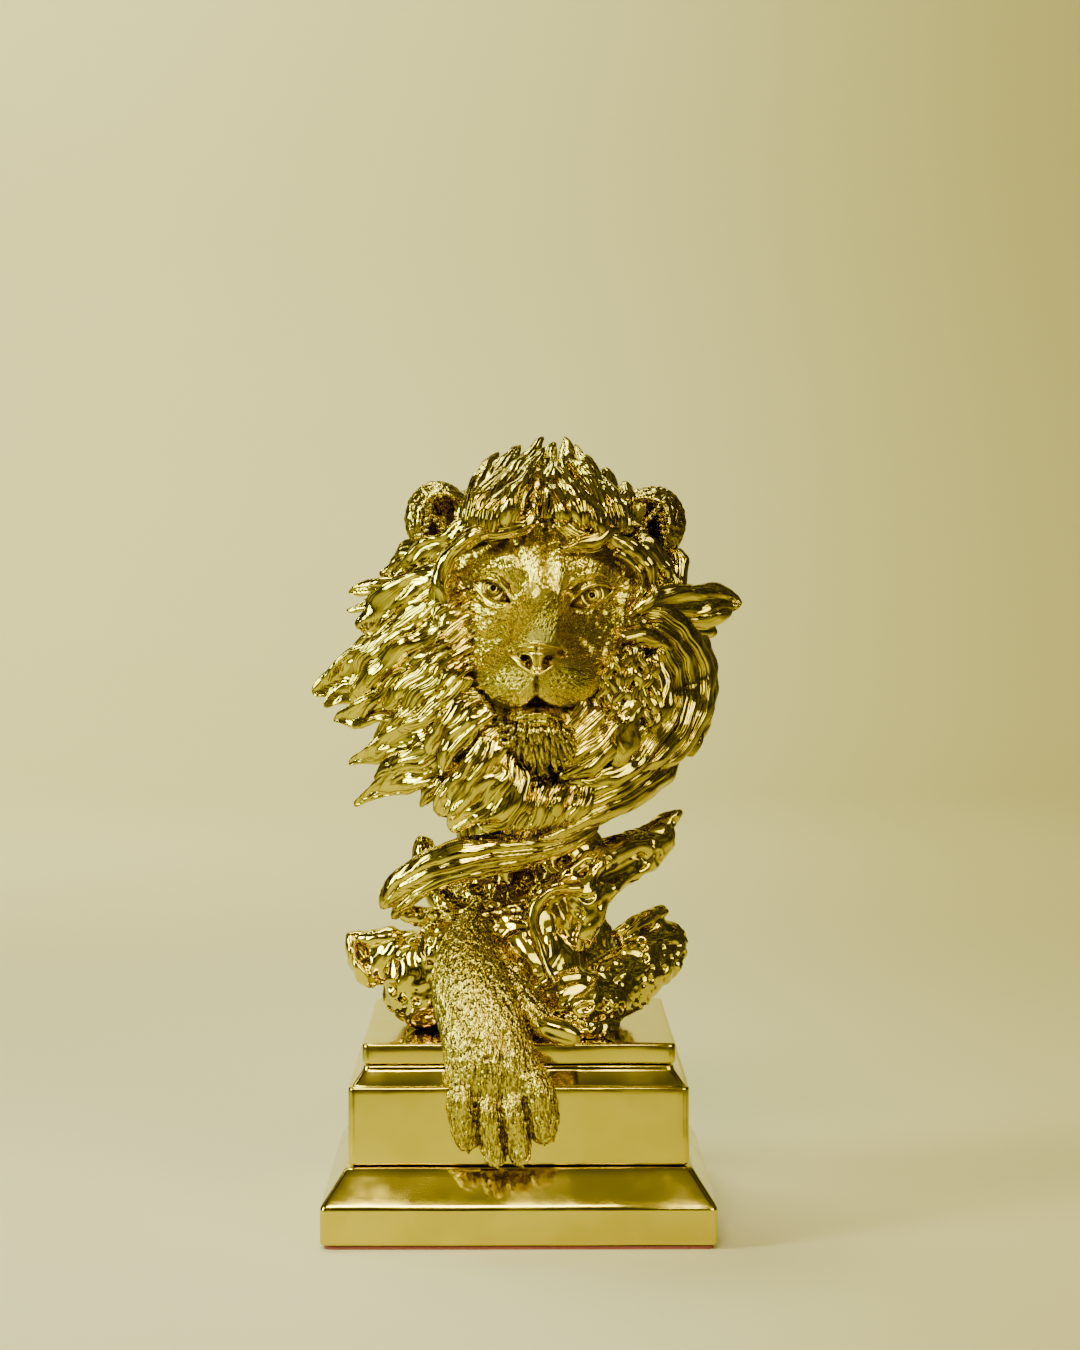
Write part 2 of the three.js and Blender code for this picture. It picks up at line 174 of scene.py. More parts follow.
# painted warm shade: the floor right of the camera's line is made warm and darker
warm_shade = bearing.between(-0.02, 0.17) * 0.8
warm_shaded = blend(tree, warm_shade, tone, WARM_SHADE_IVORY)
painted_shade_floor = blend(tree, ahead, warm_shaded, PAINTED_SHADE_IVORY)
tree.links.new(painted_shade_floor.link, shader.inputs["Base Color"])
shader.inputs["Roughness"].default_value = 0.75
floor.data.materials.append(floor_look)

ROOM_DARK, ROOM_BRIGHT, ROOM_RIGHT = (0.035, 0.030, 0.008), (0.44, 0.39, 0.18), (0.05, 0.045, 0.010)
CEILING = (0.17, 0.15, 0.05)

room = bpy.data.worlds.new("room")
bpy.context.scene.world = room
room.use_nodes = True
tree = room.node_tree
tree.nodes.clear()
direction = node(tree, "ShaderNodeTexCoord")
east, north, up = parts_of(tree, direction)
shapes = noise(tree, direction, 4.2, 1.5)
ahead = north.between(-0.93, -0.985) * up.between(0.20, 0.02)
bright = shapes.between(0.52, 0.57) * up.between(0.98, 0.80)
bright = bright.maths("MAXIMUM", bright, ahead * 0.5)
glow = north.between(-0.20, -0.50) * up.between(0.45, 0.70) * up.between(0.97, 0.85)
bright = bright.maths("MAXIMUM", bright, glow * 0.55)
wall = blend(tree, bright, ROOM_DARK, ROOM_BRIGHT)
ceiling = blend(tree, up.between(0.88, 0.96), wall, CEILING)
lit = blend(tree, east.between(0.35, 0.95) * 0.7, ceiling, ROOM_RIGHT)
shown = node(tree, "ShaderNodeBackground", None, Color=lit, Strength=1.0)
end = tree.nodes.new("ShaderNodeOutputWorld")
tree.links.new(shown.link, end.inputs["Surface"])


def lamp(name, place, aim, size, power, colour, spread=180):
    light = bpy.data.lights.new(name, "AREA")
    light.shape = "RECTANGLE"
    light.size, light.size_y = size
    light.energy, light.color = power, colour
    light.spread = math.radians(spread)
    holder = bpy.data.objects.new(name, light)
    bpy.context.collection.objects.link(holder)
    holder.location = place
    holder.rotation_euler = (Vector(aim) - Vector(place)).to_track_quat("-Z", "Y").to_euler()


lamp("window", (-1.5, -0.65, 0.72), (0, 0, 0.25), (0.45, 1.0), 14, (0.84, 0.95, 1.0), 100)
lamp("front", (-0.3, -1.6, 1.62), (0, 0, 0.22), (0.8, 0.45), 6.2, (1.0, 0.86, 0.80), 70)
lamp("top", (-0.35, 0.5, 2.0), (0, 0, 0.25), (0.8, 0.45), 2.6, (0.90, 0.96, 1.0), 60)
lamp("fill", (1.1, -1.6, 0.9), (0, 0, 0.25), (1.2, 1.2), 5.5, (1.0, 0.92, 0.7), 70)
lamp("back_wall", (-1.1, 1.3, 1.9), (-0.8, 2.8, 0.7), (1.8, 0.6), 104, (1.0, 0.97, 0.78))

bpy.ops.object.select_all(action="DESELECT")
camera_data = bpy.data.cameras.new("camera")
camera = bpy.data.objects.new("camera", camera_data)
bpy.context.collection.objects.link(camera)
bpy.context.scene.camera = camera
camera_data.lens = 83.2
camera_data.sensor_width = 36
camera_data.clip_end = 30
camera.location = (0, -CAMERA_DISTANCE, CAMERA_HEIGHT)
aim = Vector((0.0099, 0, 0.250))
camera.rotation_euler = (aim - camera.location).to_track_quat("-Z", "Y").to_euler()

# ---------------------------------------------------------------------------- gold plating
# The cast pieces are plated after they are bonded: one bright lemon gold, mirror smooth on the
# plinth and the broad locks, with thin spots where a brown undercoat shows along the edges.
# Creases and the dips between fine hairs are darkened with painted shade.


LEMON_GOLD, PALE_GOLD = (0.58, 0.475, 0.030), (0.65, 0.535, 0.050)
# the first and last of these are painted shade, for creases and for the dips between hairs; the
# middle one is the brown undercoat where the plating is worn through
CREASE_SHADE_GOLD, UNDERCOAT, GROOVE_SHADE_BROWN = (0.33, 0.26, 0.02), (0.30, 0.18, 0.04), (0.17, 0.115, 0.012)


def gold(name, grain=None, rough=0.09, wear=0.5):
    """Plating, with `grain` a function that gives the height of the surface in millimetres and
    how much painted shade darkens the dips between its hairs."""
    made, tree, shader = material(name)
    place = node(tree, "ShaderNodeTexCoord", out="Object")
    edge = node(tree, "ShaderNodeNewGeometry", out="Pointiness")
    cloud = noise(tree, place, 38.0, 4.0)
    specks = noise(tree, place, 900.0, 2.0)
    tint = blend(tree, cloud.between(0.35, 0.65), LEMON_GOLD, PALE_GOLD)
    # painted shade: concave creases, found by pointiness, are darkened
    deep = blend(tree, edge.between(0.495, 0.44), tint, CREASE_SHADE_GOLD)
    worn = specks.between(0.66, 0.74) * edge.between(0.52, 0.60) * wear
    colour = blend(tree, worn, deep, UNDERCOAT)
    ripple = noise(tree, place, 60.0, 2.0)
    height = ripple * 0.10
    if grain:
        relief, groove_shade = grain(tree)
        height = height + relief
        # painted shade in the dips between hairs
        colour = blend(tree, groove_shade, colour, GROOVE_SHADE_BROWN)
    tree.links.new(colour.link, shader.inputs["Base Color"])
    shader.inputs["Metallic"].default_value = 1
    dulled = rough + 0.10 * cloud.between(0.45, 0.75) + 0.25 * worn
    tree.links.new(dulled.link, shader.inputs["Roughness"])
    bump = node(tree, "ShaderNodeBump", None, Strength=1.0, Distance=MM, Height=height)
    tree.links.new(bump.link, shader.inputs["Normal"])
    return made


def wear_slot(piece, look, *nodes):
    """Gives a finished piece its look and its body, and hides the CAD nodes it stands for."""
    piece.data.materials.clear()
    piece.data.materials.append(look)
    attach(piece, "root")
    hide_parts(*nodes)


polished = gold("polished_gold")

# ---------------------------------------------------------------------------- plinth
# Three square cast tiers, held by the tie rod: a foot with a sloping shoulder, a block with a
# cove and a cap. The faces are a little wavy from the mould and the edges are rubbed round.
PLINTH_CORNER = 3.0
PROFILE_STEP = 3.0  # about how far apart the points of a tier's profile are
TIER_AROUND = 168  # points round a tier
FLAT_SHARE = 0.86  # share of each quarter turn on the straight side, the rest is its corner
WAVE, WAVE_LENGTH = 0.16, 46
HUB, FACE_RING = 8, 60  # half widths of the two rings that carry a tier's flat top and underside


def ringed_ball(name, around, rings):
    """A ball whose points are then placed ring by ring: returns it with each point's ring, from 0
    at the low pole to 1 at the high one, and its turn about the axis."""
    bpy.ops.object.select_all(action="DESELECT")
    bpy.ops.mesh.primitive_uv_sphere_add(segments=around, ring_count=rings, radius=1)
    made = bpy.context.object
    made.name = name
    points = get_points(made)
    along = np.arccos(np.clip(-points[:, 2], -1, 1)) / math.pi
    return made, along, np.arctan2(points[:, 1], points[:, 0])


def get_points(piece):
    points = np.empty(len(piece.data.vertices) * 3)
    piece.data.vertices.foreach_get("co", points)
    return points.reshape(-1, 3)


def set_points(piece, points):
    piece.data.vertices.foreach_set("co", points.ravel())
    piece.data.update()


def smooth(piece):
    bpy.ops.object.select_all(action="DESELECT")
    piece.select_set(True)
    bpy.context.view_layer.objects.active = piece
    bpy.ops.object.shade_smooth()


def rounded_profile(corners, radius):
    """Points along a profile of straight runs, its inner corners rounded."""
    line = [np.array(corners[0], float)]
    for before, corner, after in zip(corners, corners[1:], corners[2:]):
        before, corner, after = (np.array(p, float) for p in (before, corner, after))
        back, forth = before - corner, after - corner
        reach = min(radius, 0.45 * np.linalg.norm(back), 0.45 * np.linalg.norm(forth))
        start = corner + back / np.linalg.norm(back) * reach
        finish = corner + forth / np.linalg.norm(forth) * reach
        for t in np.linspace(0, 1, 5):
            line.append((1 - t) ** 2 * start + 2 * t * (1 - t) * corner + t * t * finish)
    line.append(np.array(corners[-1], float))
    full = [line[0]]
    for a, b in zip(line, line[1:]):
        pieces = max(1, round(np.linalg.norm(b - a) / PROFILE_STEP))
        full += [a + (b - a) * (k + 1) / pieces for k in range(pieces)]
    return np.array(full)


def square_ring(turn, half):
    """Points of a square with rounded corners, for turns round it, at each half width."""
    radius = np.minimum(PLINTH_CORNER, half)
    quarter = np.floor((turn + math.pi / 4) / (math.pi / 2))
    local = turn - quarter * math.pi / 2
    share = local / (math.pi / 4)
    bend = np.clip((np.abs(share) - FLAT_SHARE) / (1 - FLAT_SHARE), 0, 1) * math.pi / 4
    across = np.sign(share) * np.where(
        np.abs(share) < FLAT_SHARE,
        np.abs(share) / FLAT_SHARE * (half - radius),
        (half - radius) + radius * np.sin(bend),
    )
    out = (half - radius) + radius * np.cos(bend)
    c, s = np.cos(quarter * math.pi / 2), np.sin(quarter * math.pi / 2)
    return out * c - across * s, out * s + across * c


def waves(points, size, seed):
    """A smooth swell over the points, about -1 to 1, made of crossing sine waves."""
    count = 7
    chance = np.random.default_rng(seed)
    swell = 0
    for _ in range(count):
        way = chance.normal(size=3)
        way *= 2 * math.pi / (size * chance.uniform(0.6, 1.6) * np.linalg.norm(way))
        swell = swell + np.sin(points @ way + chance.uniform(0, 2 * math.pi))
    return swell / math.sqrt(count) / 1.2


def tier(name, node_name, z, sides, radius, seed):
    """A square tier between two heights; its sides are given by half widths and heights."""
    underside, top_face = [(HUB, z[0]), (FACE_RING, z[0])], [(FACE_RING, z[1]), (HUB, z[1])]
    profile = rounded_profile([*underside, *sides, *top_face], radius)
    made, along, turn = ringed_ball(name, TIER_AROUND, len(profile) + 1)
    row = np.clip(np.round(along * (len(profile) + 1)).astype(int) - 1, 0, len(profile) - 1)
    half, height = profile[row, 0], profile[row, 1]
    pole = (along < 1e-4) | (along > 1 - 1e-4)
    half = np.where(pole, 0, half)
    x, y = square_ring(turn, half)
    points = np.stack([x, y, height], axis=1)
    swell = waves(points, WAVE_LENGTH, seed) * WAVE
    inward = 1 - (np.abs(swell) + swell * 0.4 + 0.10) / sides[0][0]
    points[:, :2] *= inward[:, None]
    top, low = height.max(), height.min()
    edge = np.clip((half - 20) / 30, 0, 1)
    points[:, 2] += np.where(height > (top + low) / 2, -1, 1) * (0.12 + swell * 0.5) * edge
    set_points(made, points * MM)
    smooth(made)
    wear_slot(made, polished, node_name)


foot_low, foot_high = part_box("plinth_foot")
block_low, block_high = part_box("plinth_block")
cap_low, cap_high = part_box("plinth_cap")
foot_half, block_half, cap_half = (h[0] / MM for h in (foot_high, block_high, cap_high))
foot_z = foot_low[2] / MM, foot_high[2] / MM
block_z = block_low[2] / MM, block_high[2] / MM
cap_z = cap_low[2] / MM, cap_high[2] / MM
UPRIGHT_EDGE = 17.0
COVE_HEIGHT, COVE_DEPTH = 9.0, 6.4

foot_sides = [
    (foot_half, foot_z[0]),
    (foot_half, foot_z[0] + UPRIGHT_EDGE),
    (block_half + 1, foot_z[1]),
]
block_sides = [
    (block_half, block_z[0]),
    (block_half, block_z[1] - COVE_HEIGHT),
    (block_half - 1.8, block_z[1] - COVE_HEIGHT + 0.7),
    (block_half - COVE_DEPTH, block_z[1] - 2.0),
    (block_half - COVE_DEPTH - 0.3, block_z[1]),
]
cap_sides = [(cap_half, cap_z[0]), (cap_half, cap_z[1])]
tier("foot_tier", "plinth_foot", foot_z, foot_sides, 1.6, 3)
tier("block_tier", "plinth_block", block_z, block_sides, 1.9, 5)
tier("cap_tier", "plinth_cap", cap_z, cap_sides, 1.5, 8)

# ---------------------------------------------------------------------------- hidden hardware
# Zinc plated rod, nut, washer, pins and board screws, a cast iron ballast plate, a fibreboard
# closing board and the red-brown felt that the trophy stands on.


def hardware(name, dark, light, rough, metal, scale, stretch=(1, 1, 1), bumpy=0.1):
    made, tree, shader = material(name)
    place = node(tree, "ShaderNodeTexCoord", out="Object")
    mapped = node(tree, "ShaderNodeMapping", None, place, Scale=stretch)
    cloud = noise(tree, mapped, scale, 5.0)
    tint = blend(tree, cloud.between(0.35, 0.65), dark, light)
    tree.links.new(tint.link, shader.inputs["Base Color"])
    worn = rough + 0.2 * cloud.between(0.4, 0.7)
    tree.links.new(worn.link, shader.inputs["Roughness"])
    shader.inputs["Metallic"].default_value = metal
    bump = node(tree, "ShaderNodeBump", None, Strength=0.8, Distance=MM, Height=cloud * bumpy)
    tree.links.new(bump.link, shader.inputs["Normal"])
    return made


zinc = hardware("zinc_steel", (0.42, 0.43, 0.44), (0.66, 0.67, 0.69), 0.26, 1, 500)
iron = hardware("ballast_iron", (0.06, 0.06, 0.065), (0.16, 0.155, 0.15), 0.6, 0.8, 400, bumpy=0.4)
board = hardware(
    "fibreboard", (0.26, 0.17, 0.09), (0.42, 0.30, 0.18), 0.7, 0, 900, (1, 0.3, 1), 0.15
)
felt = hardware("base_felt_fibres", (0.13, 0.030, 0.014), (0.26, 0.07, 0.035), 0.8, 0, 2400)
HARDWARE = {"steel": zinc, "iron": iron, "board": board, "felt": felt}
slots = {part["node"]: part["material_slot"] for part in frame["record"]["subparts"]}
for name, part in frame["nodes"].items():
    if slots[name] in HARDWARE:
        part.data.materials.clear()
        part.data.materials.append(HARDWARE[slots[name]])

# ---------------------------------------------------------------------------- rock and its limbs
# Rough cast rock, full of pits and swirls, with two driftwood-like limbs to the right and a
# smooth curled knob to the left. It is modelled as clay: lumps merged, melted and then worked.


def along_line(stations, share):
    """Rows at each share, 0 to 1, of a smooth line through the stations."""
    stations = np.array(stations, float)
    padded = np.vstack(
        [2 * stations[0] - stations[1], stations, 2 * stations[-1] - stations[-2]]
    )
    place = np.clip(share, 0, 1) * (len(stations) - 1)
    k = np.minimum(place.astype(int), len(stations) - 2)
    f = (place - k)[:, None]
    a, b, c, d = (padded[k + i] for i in range(4))
    return 0.5 * (
        2 * b + (c - a) * f + (2 * a - 5 * b + 4 * c - d) * f**2 + (3 * b - a - 3 * c + d) * f**3
    )


def unit(rows):
    return rows / np.maximum(np.linalg.norm(rows, axis=-1, keepdims=True), 1e-9)


FRONTWARDS = (0, -1, 0)
END_SHARE = 0.16  # how much of a limb's length rounds off at each end


def limb(name, stations, around=24, rings=24):
    """A ball drawn out along a line. Each station is x, y, z, half width, half thickness."""
    made, along, turn = ringed_ball(name, around, rings)
    rows = along_line(stations, along)
    rows[:, 3:5] = np.maximum(rows[:, 3:5], 0.3)
    ahead = along_line(stations, along + 1e-3)[:, :3]
    behind = along_line(stations, along - 1e-3)[:, :3]
    tangent = unit(ahead - behind)
    across = unit(np.cross(tangent, np.broadcast_to(FRONTWARDS, tangent.shape)))
    out = np.cross(across, tangent)
    share = 1 - np.abs(2 * along - 1)
    blunt = np.sqrt(1 - (1 - np.clip(share / END_SHARE, 0, 1)) ** 2)
    points = rows[:, :3]
    points = points + across * (rows[:, 3] * np.cos(turn) * blunt)[:, None]
    points = points + out * (rows[:, 4] * np.sin(turn) * blunt)[:, None]
    ends = np.where(along < 0.5, -1, 1) * (1 - np.clip(share / END_SHARE, 0, 1))
    points = points + tangent * (ends * rows[:, 4] * 0.6)[:, None]
    set_points(made, points * MM)
    return made


def lump(centre, half):
    made = ringed_ball("lump", 32, 20)[0]
    set_points(made, (get_points(made) * half + centre) * MM)
    return made


def merge(pieces, name):
    bpy.ops.object.select_all(action="DESELECT")
    for piece in pieces:
        piece.select_set(True)
    bpy.context.view_layer.objects.active = pieces[0]
    if len(pieces) > 1:
        bpy.ops.object.join()
    made = bpy.context.object
    made.name = made.data.name = name
    return made


def apply(piece, kind, **settings):
    modifier = piece.modifiers.new(kind, kind)
    for key, value in settings.items():
        setattr(modifier, key, value)
    bpy.ops.object.select_all(action="DESELECT")
    piece.select_set(True)
    bpy.context.view_layer.objects.active = piece
    bpy.ops.object.modifier_apply(modifier=modifier.name)


def clay(name, lumps, grit=0.9, melt=8):
    """Merges lumps into one skin of points about `grit` mm apart and melts their joints."""
    made = merge(lumps, name)
    apply(made, "REMESH", mode="VOXEL", voxel_size=grit * MM, use_smooth_shade=True)
    apply(made, "SMOOTH", factor=0.6, iterations=melt)
    return made


def normals_of(piece):
    normals = np.empty(len(piece.data.vertices) * 3)
    piece.data.vertices.foreach_get("normal", normals)
    return normals.reshape(-1, 3)


def chance_at(cell, seed):
    """A random value from 0 to 1 for each cell of a grid, always the same for the same seed."""
    mixed = cell[..., 0] * 73856093 ^ cell[..., 1] * 19349663 ^ cell[..., 2] * 83492791
    mixed = mixed ^ seed * 2654435
    mixed = (mixed ^ (mixed >> 13)) * 1274126177
    return ((mixed ^ (mixed >> 16)) & 0xFFFF) / 65535.0


def grain_of(points, size, seed=0):
    """Smooth random values from 0 to 1 over the points; `size` may differ along each axis."""
    spot = points / np.array(size, float)
    cell = np.floor(spot).astype(np.int64)
    f = spot - cell
    f = f * f * (3 - 2 * f)
    total = 0
    for corner in np.ndindex(2, 2, 2):
        weight = np.prod(np.where(corner, f, 1 - f), axis=1)
        total = total + weight * chance_at(cell + np.array(corner), seed)
    return total


def pits_of(points, size, seed=0):
    """Distance to the nearest of many scattered centres, and that centre's own random value."""
    spot = points / np.array(size, float)
    cell = np.floor(spot).astype(np.int64)
    best = np.full(len(points), 9.0)
    own = np.zeros(len(points))
    for step in np.ndindex(3, 3, 3):
        near = cell + np.array(step) - 1
        own_place = np.stack([chance_at(near, seed + k) for k in range(3)], axis=1)
        centre = near + 0.5 + 0.9 * (own_place - 0.5)
        gap = np.linalg.norm(spot - centre, axis=1)
        own = np.where(gap < best, chance_at(near, seed + 5), own)
        best = np.minimum(gap, best)
    return best, own


def cast_rock(piece, seed, strength=1.0, smooth_where=None, run=(0, 0, 1), holes=0.5):
    """Works flowing folds and clusters of round pits into a clay piece, along its normals.

    run: the way that the folds flow, holes: how much of the skin the clusters of pits cover."""
    points, normals = get_points(piece) / MM, normals_of(piece)
    strong = strength if smooth_where is None else strength * smooth_where(points)
    bent = points + 4.0 * np.stack([waves(points, 24, seed + k) for k in range(3)], axis=1)
    run = unit(np.array(run, float))
    flowing = bent - 0.62 * (bent @ run)[:, None] * run
    folds = np.abs(grain_of(flowing, (9, 9, 9), seed) * 2 - 1)
    folds2 = np.abs(grain_of(flowing + 40, (4.2, 4.2, 4.2), seed + 3) * 2 - 1)
    cluster = np.clip(grain_of(points, (17, 17, 17), seed + 7) * 3 - 3 * (1 - holes), 0, 1)
    big, own = pits_of(bent, (8.5, 8.5, 8.5), seed + 11)
    small, own2 = pits_of(points, (4.4, 4.4, 4.4), seed + 21)
    depth = 2.6 * (folds - 0.4) + 0.5 * (folds2 - 0.4)
    hole = np.clip(1 - big / (0.28 + 0.20 * own), 0, 1) ** 0.6 * (own > 0.6)
    rim = np.exp(-(((big - 0.38 - 0.15 * own) / 0.10) ** 2)) * (own > 0.6)
    hole2 = np.clip(1 - small / (0.24 + 0.24 * own2), 0, 1) ** 0.6 * cluster
    rim2 = np.exp(-(((small - 0.36 - 0.1 * own2) / 0.12) ** 2)) * cluster
    depth = depth - 3.2 * hole + 0.6 * rim - 2.1 * hole2 + 0.45 * rim2
    points = points + normals * (depth * strong)[:, None]
    set_points(piece, points * MM)
    apply(piece, "SMOOTH", factor=0.5, iterations=2)


def near_line(points, line):
    """Distance from each point to a line of x, z points, seen from the front."""
    spots = points[:, [0, 2]]
    best = np.full(len(points), 1e9)
    line = np.array(line, float)
    for a, b in zip(line, line[1:]):
        run = b - a
        share = np.clip((spots - a) @ run / (run @ run), 0, 1)
        best = np.minimum(best, np.linalg.norm(spots - a - share[:, None] * run, axis=1))
    return best


def rest_on_cap(piece):
    """Presses the underside of a piece of rock flat, a hair above the plinth's cap."""
    points = get_points(piece) / MM
    points[:, 2] = np.maximum(points[:, 2], cap_z[1] + 0.15)
    set_points(piece, points * MM)


rocky = gold("rocky_gold", rough=0.07)

rock = clay(
    "rock_mass",
    [
        lump((-2, 4, 106), (58, 48, 27)),
        lump((-8, -6, 128), (40, 36, 30)),
        lump((-42, -26, 112), (21, 20, 24)),
        lump((-30, -38, 126), (15, 14, 18)),
        lump((24, -38, 103), (27, 20, 16)),
        lump((6, -30, 118), (24, 20, 24)),
        lump((22, 10, 118), (24, 26, 26)),
        lump((-20, -36, 99), (18, 18, 14)),
        lump((14, -40, 97), (22, 17, 12)),
        limb("spur", [(-36, -34, 140, 6, 8), (-48, -36, 142, 5, 6), (-56, -38, 147, 3, 3)]),
    ],
    1.0,
)
cast_rock(rock, 4, run=(0.2, 0.2, 0.9), holes=0.5)
rest_on_cap(rock)
wear_slot(rock, rocky, "rock_base")

limb_upper = clay(
    "limb_upper",
    [
        limb(
            "arm",
            [
                (14, -32, 128, 17, 14),
                (22, -30, 146, 18, 12),
                (40, -20, 163, 13, 10),
                (57, -8, 169, 11, 8),
                (70, 0, 177, 8, 6),
            ],
        ),
        limb("lip", [(28, -42, 155.5, 3, 4), (15, -46, 153.5, 3.4, 4), (7.2, -46, 147, 3, 4)]),
        limb(
            "lip_low",
            [
                (7.2, -46, 147, 3, 4),
                (5.8, -46, 139, 2.6, 4),
                (9.5, -46, 128, 2.8, 4),
                (14.5, -48, 115, 3, 4),
            ],
        ),
        limb("horn", [(60, -4, 176, 5, 5), (69, 0, 182, 4, 4), (75, 2, 186, 2.4, 2.4)]),
        limb("edge", [(36, -18, 148, 4, 5), (50, -12, 156, 3.5, 5), (64, -4, 163, 3, 4)]),
    ],
    0.85,
    5,
)
points = get_points(limb_upper) / MM
shade = np.exp(-((near_line(points, [(18, 147), (22, 138), (21, 124)]) / 6.0) ** 2))
shade += 0.8 * np.exp(-((near_line(points, [(40, 158), (56, 166)]) / 4) ** 2))
points[:, 1] += 9 * shade * (points[:, 1] < -8)
set_points(limb_upper, points * MM)
apply(limb_upper, "SMOOTH", factor=0.5, iterations=3)
UPPER_LIP = [(28, 155), (14, 153), (6, 144), (14, 114)]
cast_rock(
    limb_upper,
    31,
    0.8,
    lambda p: 1 - 0.75 * np.exp(-((near_line(p, UPPER_LIP) / 4) ** 2)),
    run=(0.75, 0.4, 0.55),
    holes=0.25,
)
wear_slot(limb_upper, rocky, "rock_limb_upper")

limb_lower = clay(
    "limb_lower",
    [
        limb(
            "arm",
            [
                (22, -34, 102, 13, 15),
                (40, -30, 107, 14, 15),
                (54, -18, 115, 15, 13),
                (66, -6, 124, 14, 10),
                (74, 2, 129, 7, 7),
            ],
        ),
        limb("rim", [(44, -20, 131, 4, 5), (58, -10, 137, 3.6, 5), (68, -2, 140, 3, 4)]),
        limb("foot_roll", [(20, -56, 97, 6, 7), (32, -54, 93, 5, 6), (44, -42, 95, 4, 5)]),
    ],
    0.85,
    5,
)
cast_rock(limb_lower, 57, 1.0, run=(0.85, 0.45, 0.35), holes=0.65)
rest_on_cap(limb_lower)
wear_slot(limb_lower, rocky, "rock_limb_lower")

knob = clay(
    "curled_knob",
    [
        limb("root", [(-42, -22, 120, 16, 14), (-56, -22, 121, 12, 12), (-66, -22, 119, 11, 9)]),
        limb("lip", [(-58, -24, 132, 4, 7), (-68, -24, 130, 4, 6), (-77, -23, 132, 2.5, 3)]),
        limb("edge", [(-77, -23, 132, 2.5, 4), (-76, -26, 122, 3, 5), (-68, -26, 110, 4, 6)]),
        limb("web", [(-64, -20, 129, 6, 6), (-70, -19, 124, 8, 5), (-70, -20, 116, 7, 5)]),
    ],
    0.8,
    5,
)
points, normals = get_points(knob) / MM, normals_of(knob)
swell = waves(points, 16, 6) * 0.9 + waves(points, 8, 9) * 0.5
swell += 0.9 * (grain_of(points, (4, 4, 4), 12) - 0.5)
points += normals * swell[:, None]
set_points(knob, points * MM)
wear_slot(knob, polished, "rock_knob")

# ---------------------------------------------------------------------------- foreleg and paw
# The furred foreleg comes out of the rock, bends over the cap's front edge and hangs clear of the
# block, with four toes and, on its inner side, a dewclaw with a bare smooth nail.
LEG_FRONT = -(max(block_half, cap_half) + 12.0)


def fur_grain(size, stretch, height):
    """Fine raised hairs for the plating's relief, with painted shade in the dips between them: size
    and length in metres.
    """

    def grain(tree):
        place = node(tree, "ShaderNodeTexCoord", out="Object")
        mapped = node(tree, "ShaderNodeMapping", None, place, Scale=stretch)
        hairs = noise(tree, mapped, 1 / size, 1.0)
        tufts = noise(tree, mapped, 0.45 / size, 0.0)
        # painted shade in the dips between hairs
        groove_shade = (hairs + tufts * 0.5).between(0.82, 0.64) * 0.88
        return hairs * height + tufts * (1.2 * height), groove_shade

    return grain


paw_fur = gold("paw_fur", fur_grain(0.0007, (1, 0.8, 0.30), 0.75), rough=0.15, wear=0.2)

# each toe from its root to its tip: x, z, half width
TOES = [
    [(-24.0, 74, 6.6), (-24.6, 66, 7.4), (-23.8, 55, 6.2), (-22.4, 46.6, 4.4)],
    [(-13.4, 70, 6.4), (-13.6, 60.5, 7.2), (-11.8, 48, 6.0), (-9.6, 39.8, 4.4)],
    [(-3.0, 70, 6.4), (-2.7, 61.5, 7.1), (-0.6, 49, 6.0), (1.2, 40.4, 4.4)],
    [(5.2, 80, 7.0), (8.0, 71, 8.2), (10.6, 59, 7.2), (11.2, 50.0, 5.0)],
]
lumps = [
    limb(
        "leg",
        [
            (-20, -40, 140, 8, 9),
            (-22, -52, 126, 15, 14),
            (-20, -66, 112, 19, 16),
            (-15, LEG_FRONT + 10, 98, 20.5, 15),
            (-12.6, LEG_FRONT + 2, 84, 20, 12.5),
            (-9.4, LEG_FRONT, 74, 20.5, 10),
            (-8, LEG_FRONT + 2, 62, 18, 5),
        ],
        around=32,
    )
]
for toe in TOES:
    lumps.append(limb("toe", [(x, LEG_FRONT - 3.6, z, w, w) for x, z, w in toe]))
lumps.append(lump((-6.5, LEG_FRONT + 3, 60), (20, 5.5, 15)))
leg = clay("foreleg_clay", lumps, 0.62, 3)
points = get_points(leg) / MM
front = np.clip((-points[:, 1] - 60) / 12, 0, 1)
for left, right in zip(TOES, TOES[1:]):
    cleft = [
        ((a[0] + b[0]) / 2, (a[1] + b[1]) / 2 + 3 * (k == 0))
        for k, (a, b) in enumerate(zip(left[1:], right[1:]))
    ]
    gap = near_line(points, cleft)
    points[:, 1] += 2.8 * front * np.exp(-((gap / 0.9) ** 2))
for line, depth in [
    ([(-19, 92), (-18, 78), (-20, 66)], 1.3),
    ([(-7, 96), (-7, 80), (-7, 68)], 1.3),
    ([(4, 98), (4, 84), (5, 70)], 1.2),
    ([(-2, 118), (2, 104), (8, 92), (11, 80)], 2.0),
]:
    points[:, 1] += depth * front * np.exp(-((near_line(points, line) / 2.2) ** 2))
for x, z, w in [toe[1] for toe in TOES]:
    knuckle = np.exp(-(((points[:, 0] - x) / w) ** 2 + ((points[:, 2] - z) / 6) ** 2))
    points[:, 1] -= 1.2 * front * knuckle
set_points(leg, points * MM)
points, normals = get_points(leg) / MM, normals_of(leg)
sway = waves(points, 30, 12) * 2.2
flow = np.stack([points[:, 0] + sway, points[:, 1], points[:, 2]], axis=1)
clumps = grain_of(flow, (1.7, 2.2, 6), 3) * 0.5 + grain_of(flow + 9, (1.1, 1.5, 3.8), 8) * 0.5
hairs = np.abs(grain_of(flow, (0.9, 1.2, 3.4), 5) * 2 - 1)
tips = np.clip((70 - points[:, 2]) / 6, 0, 1)
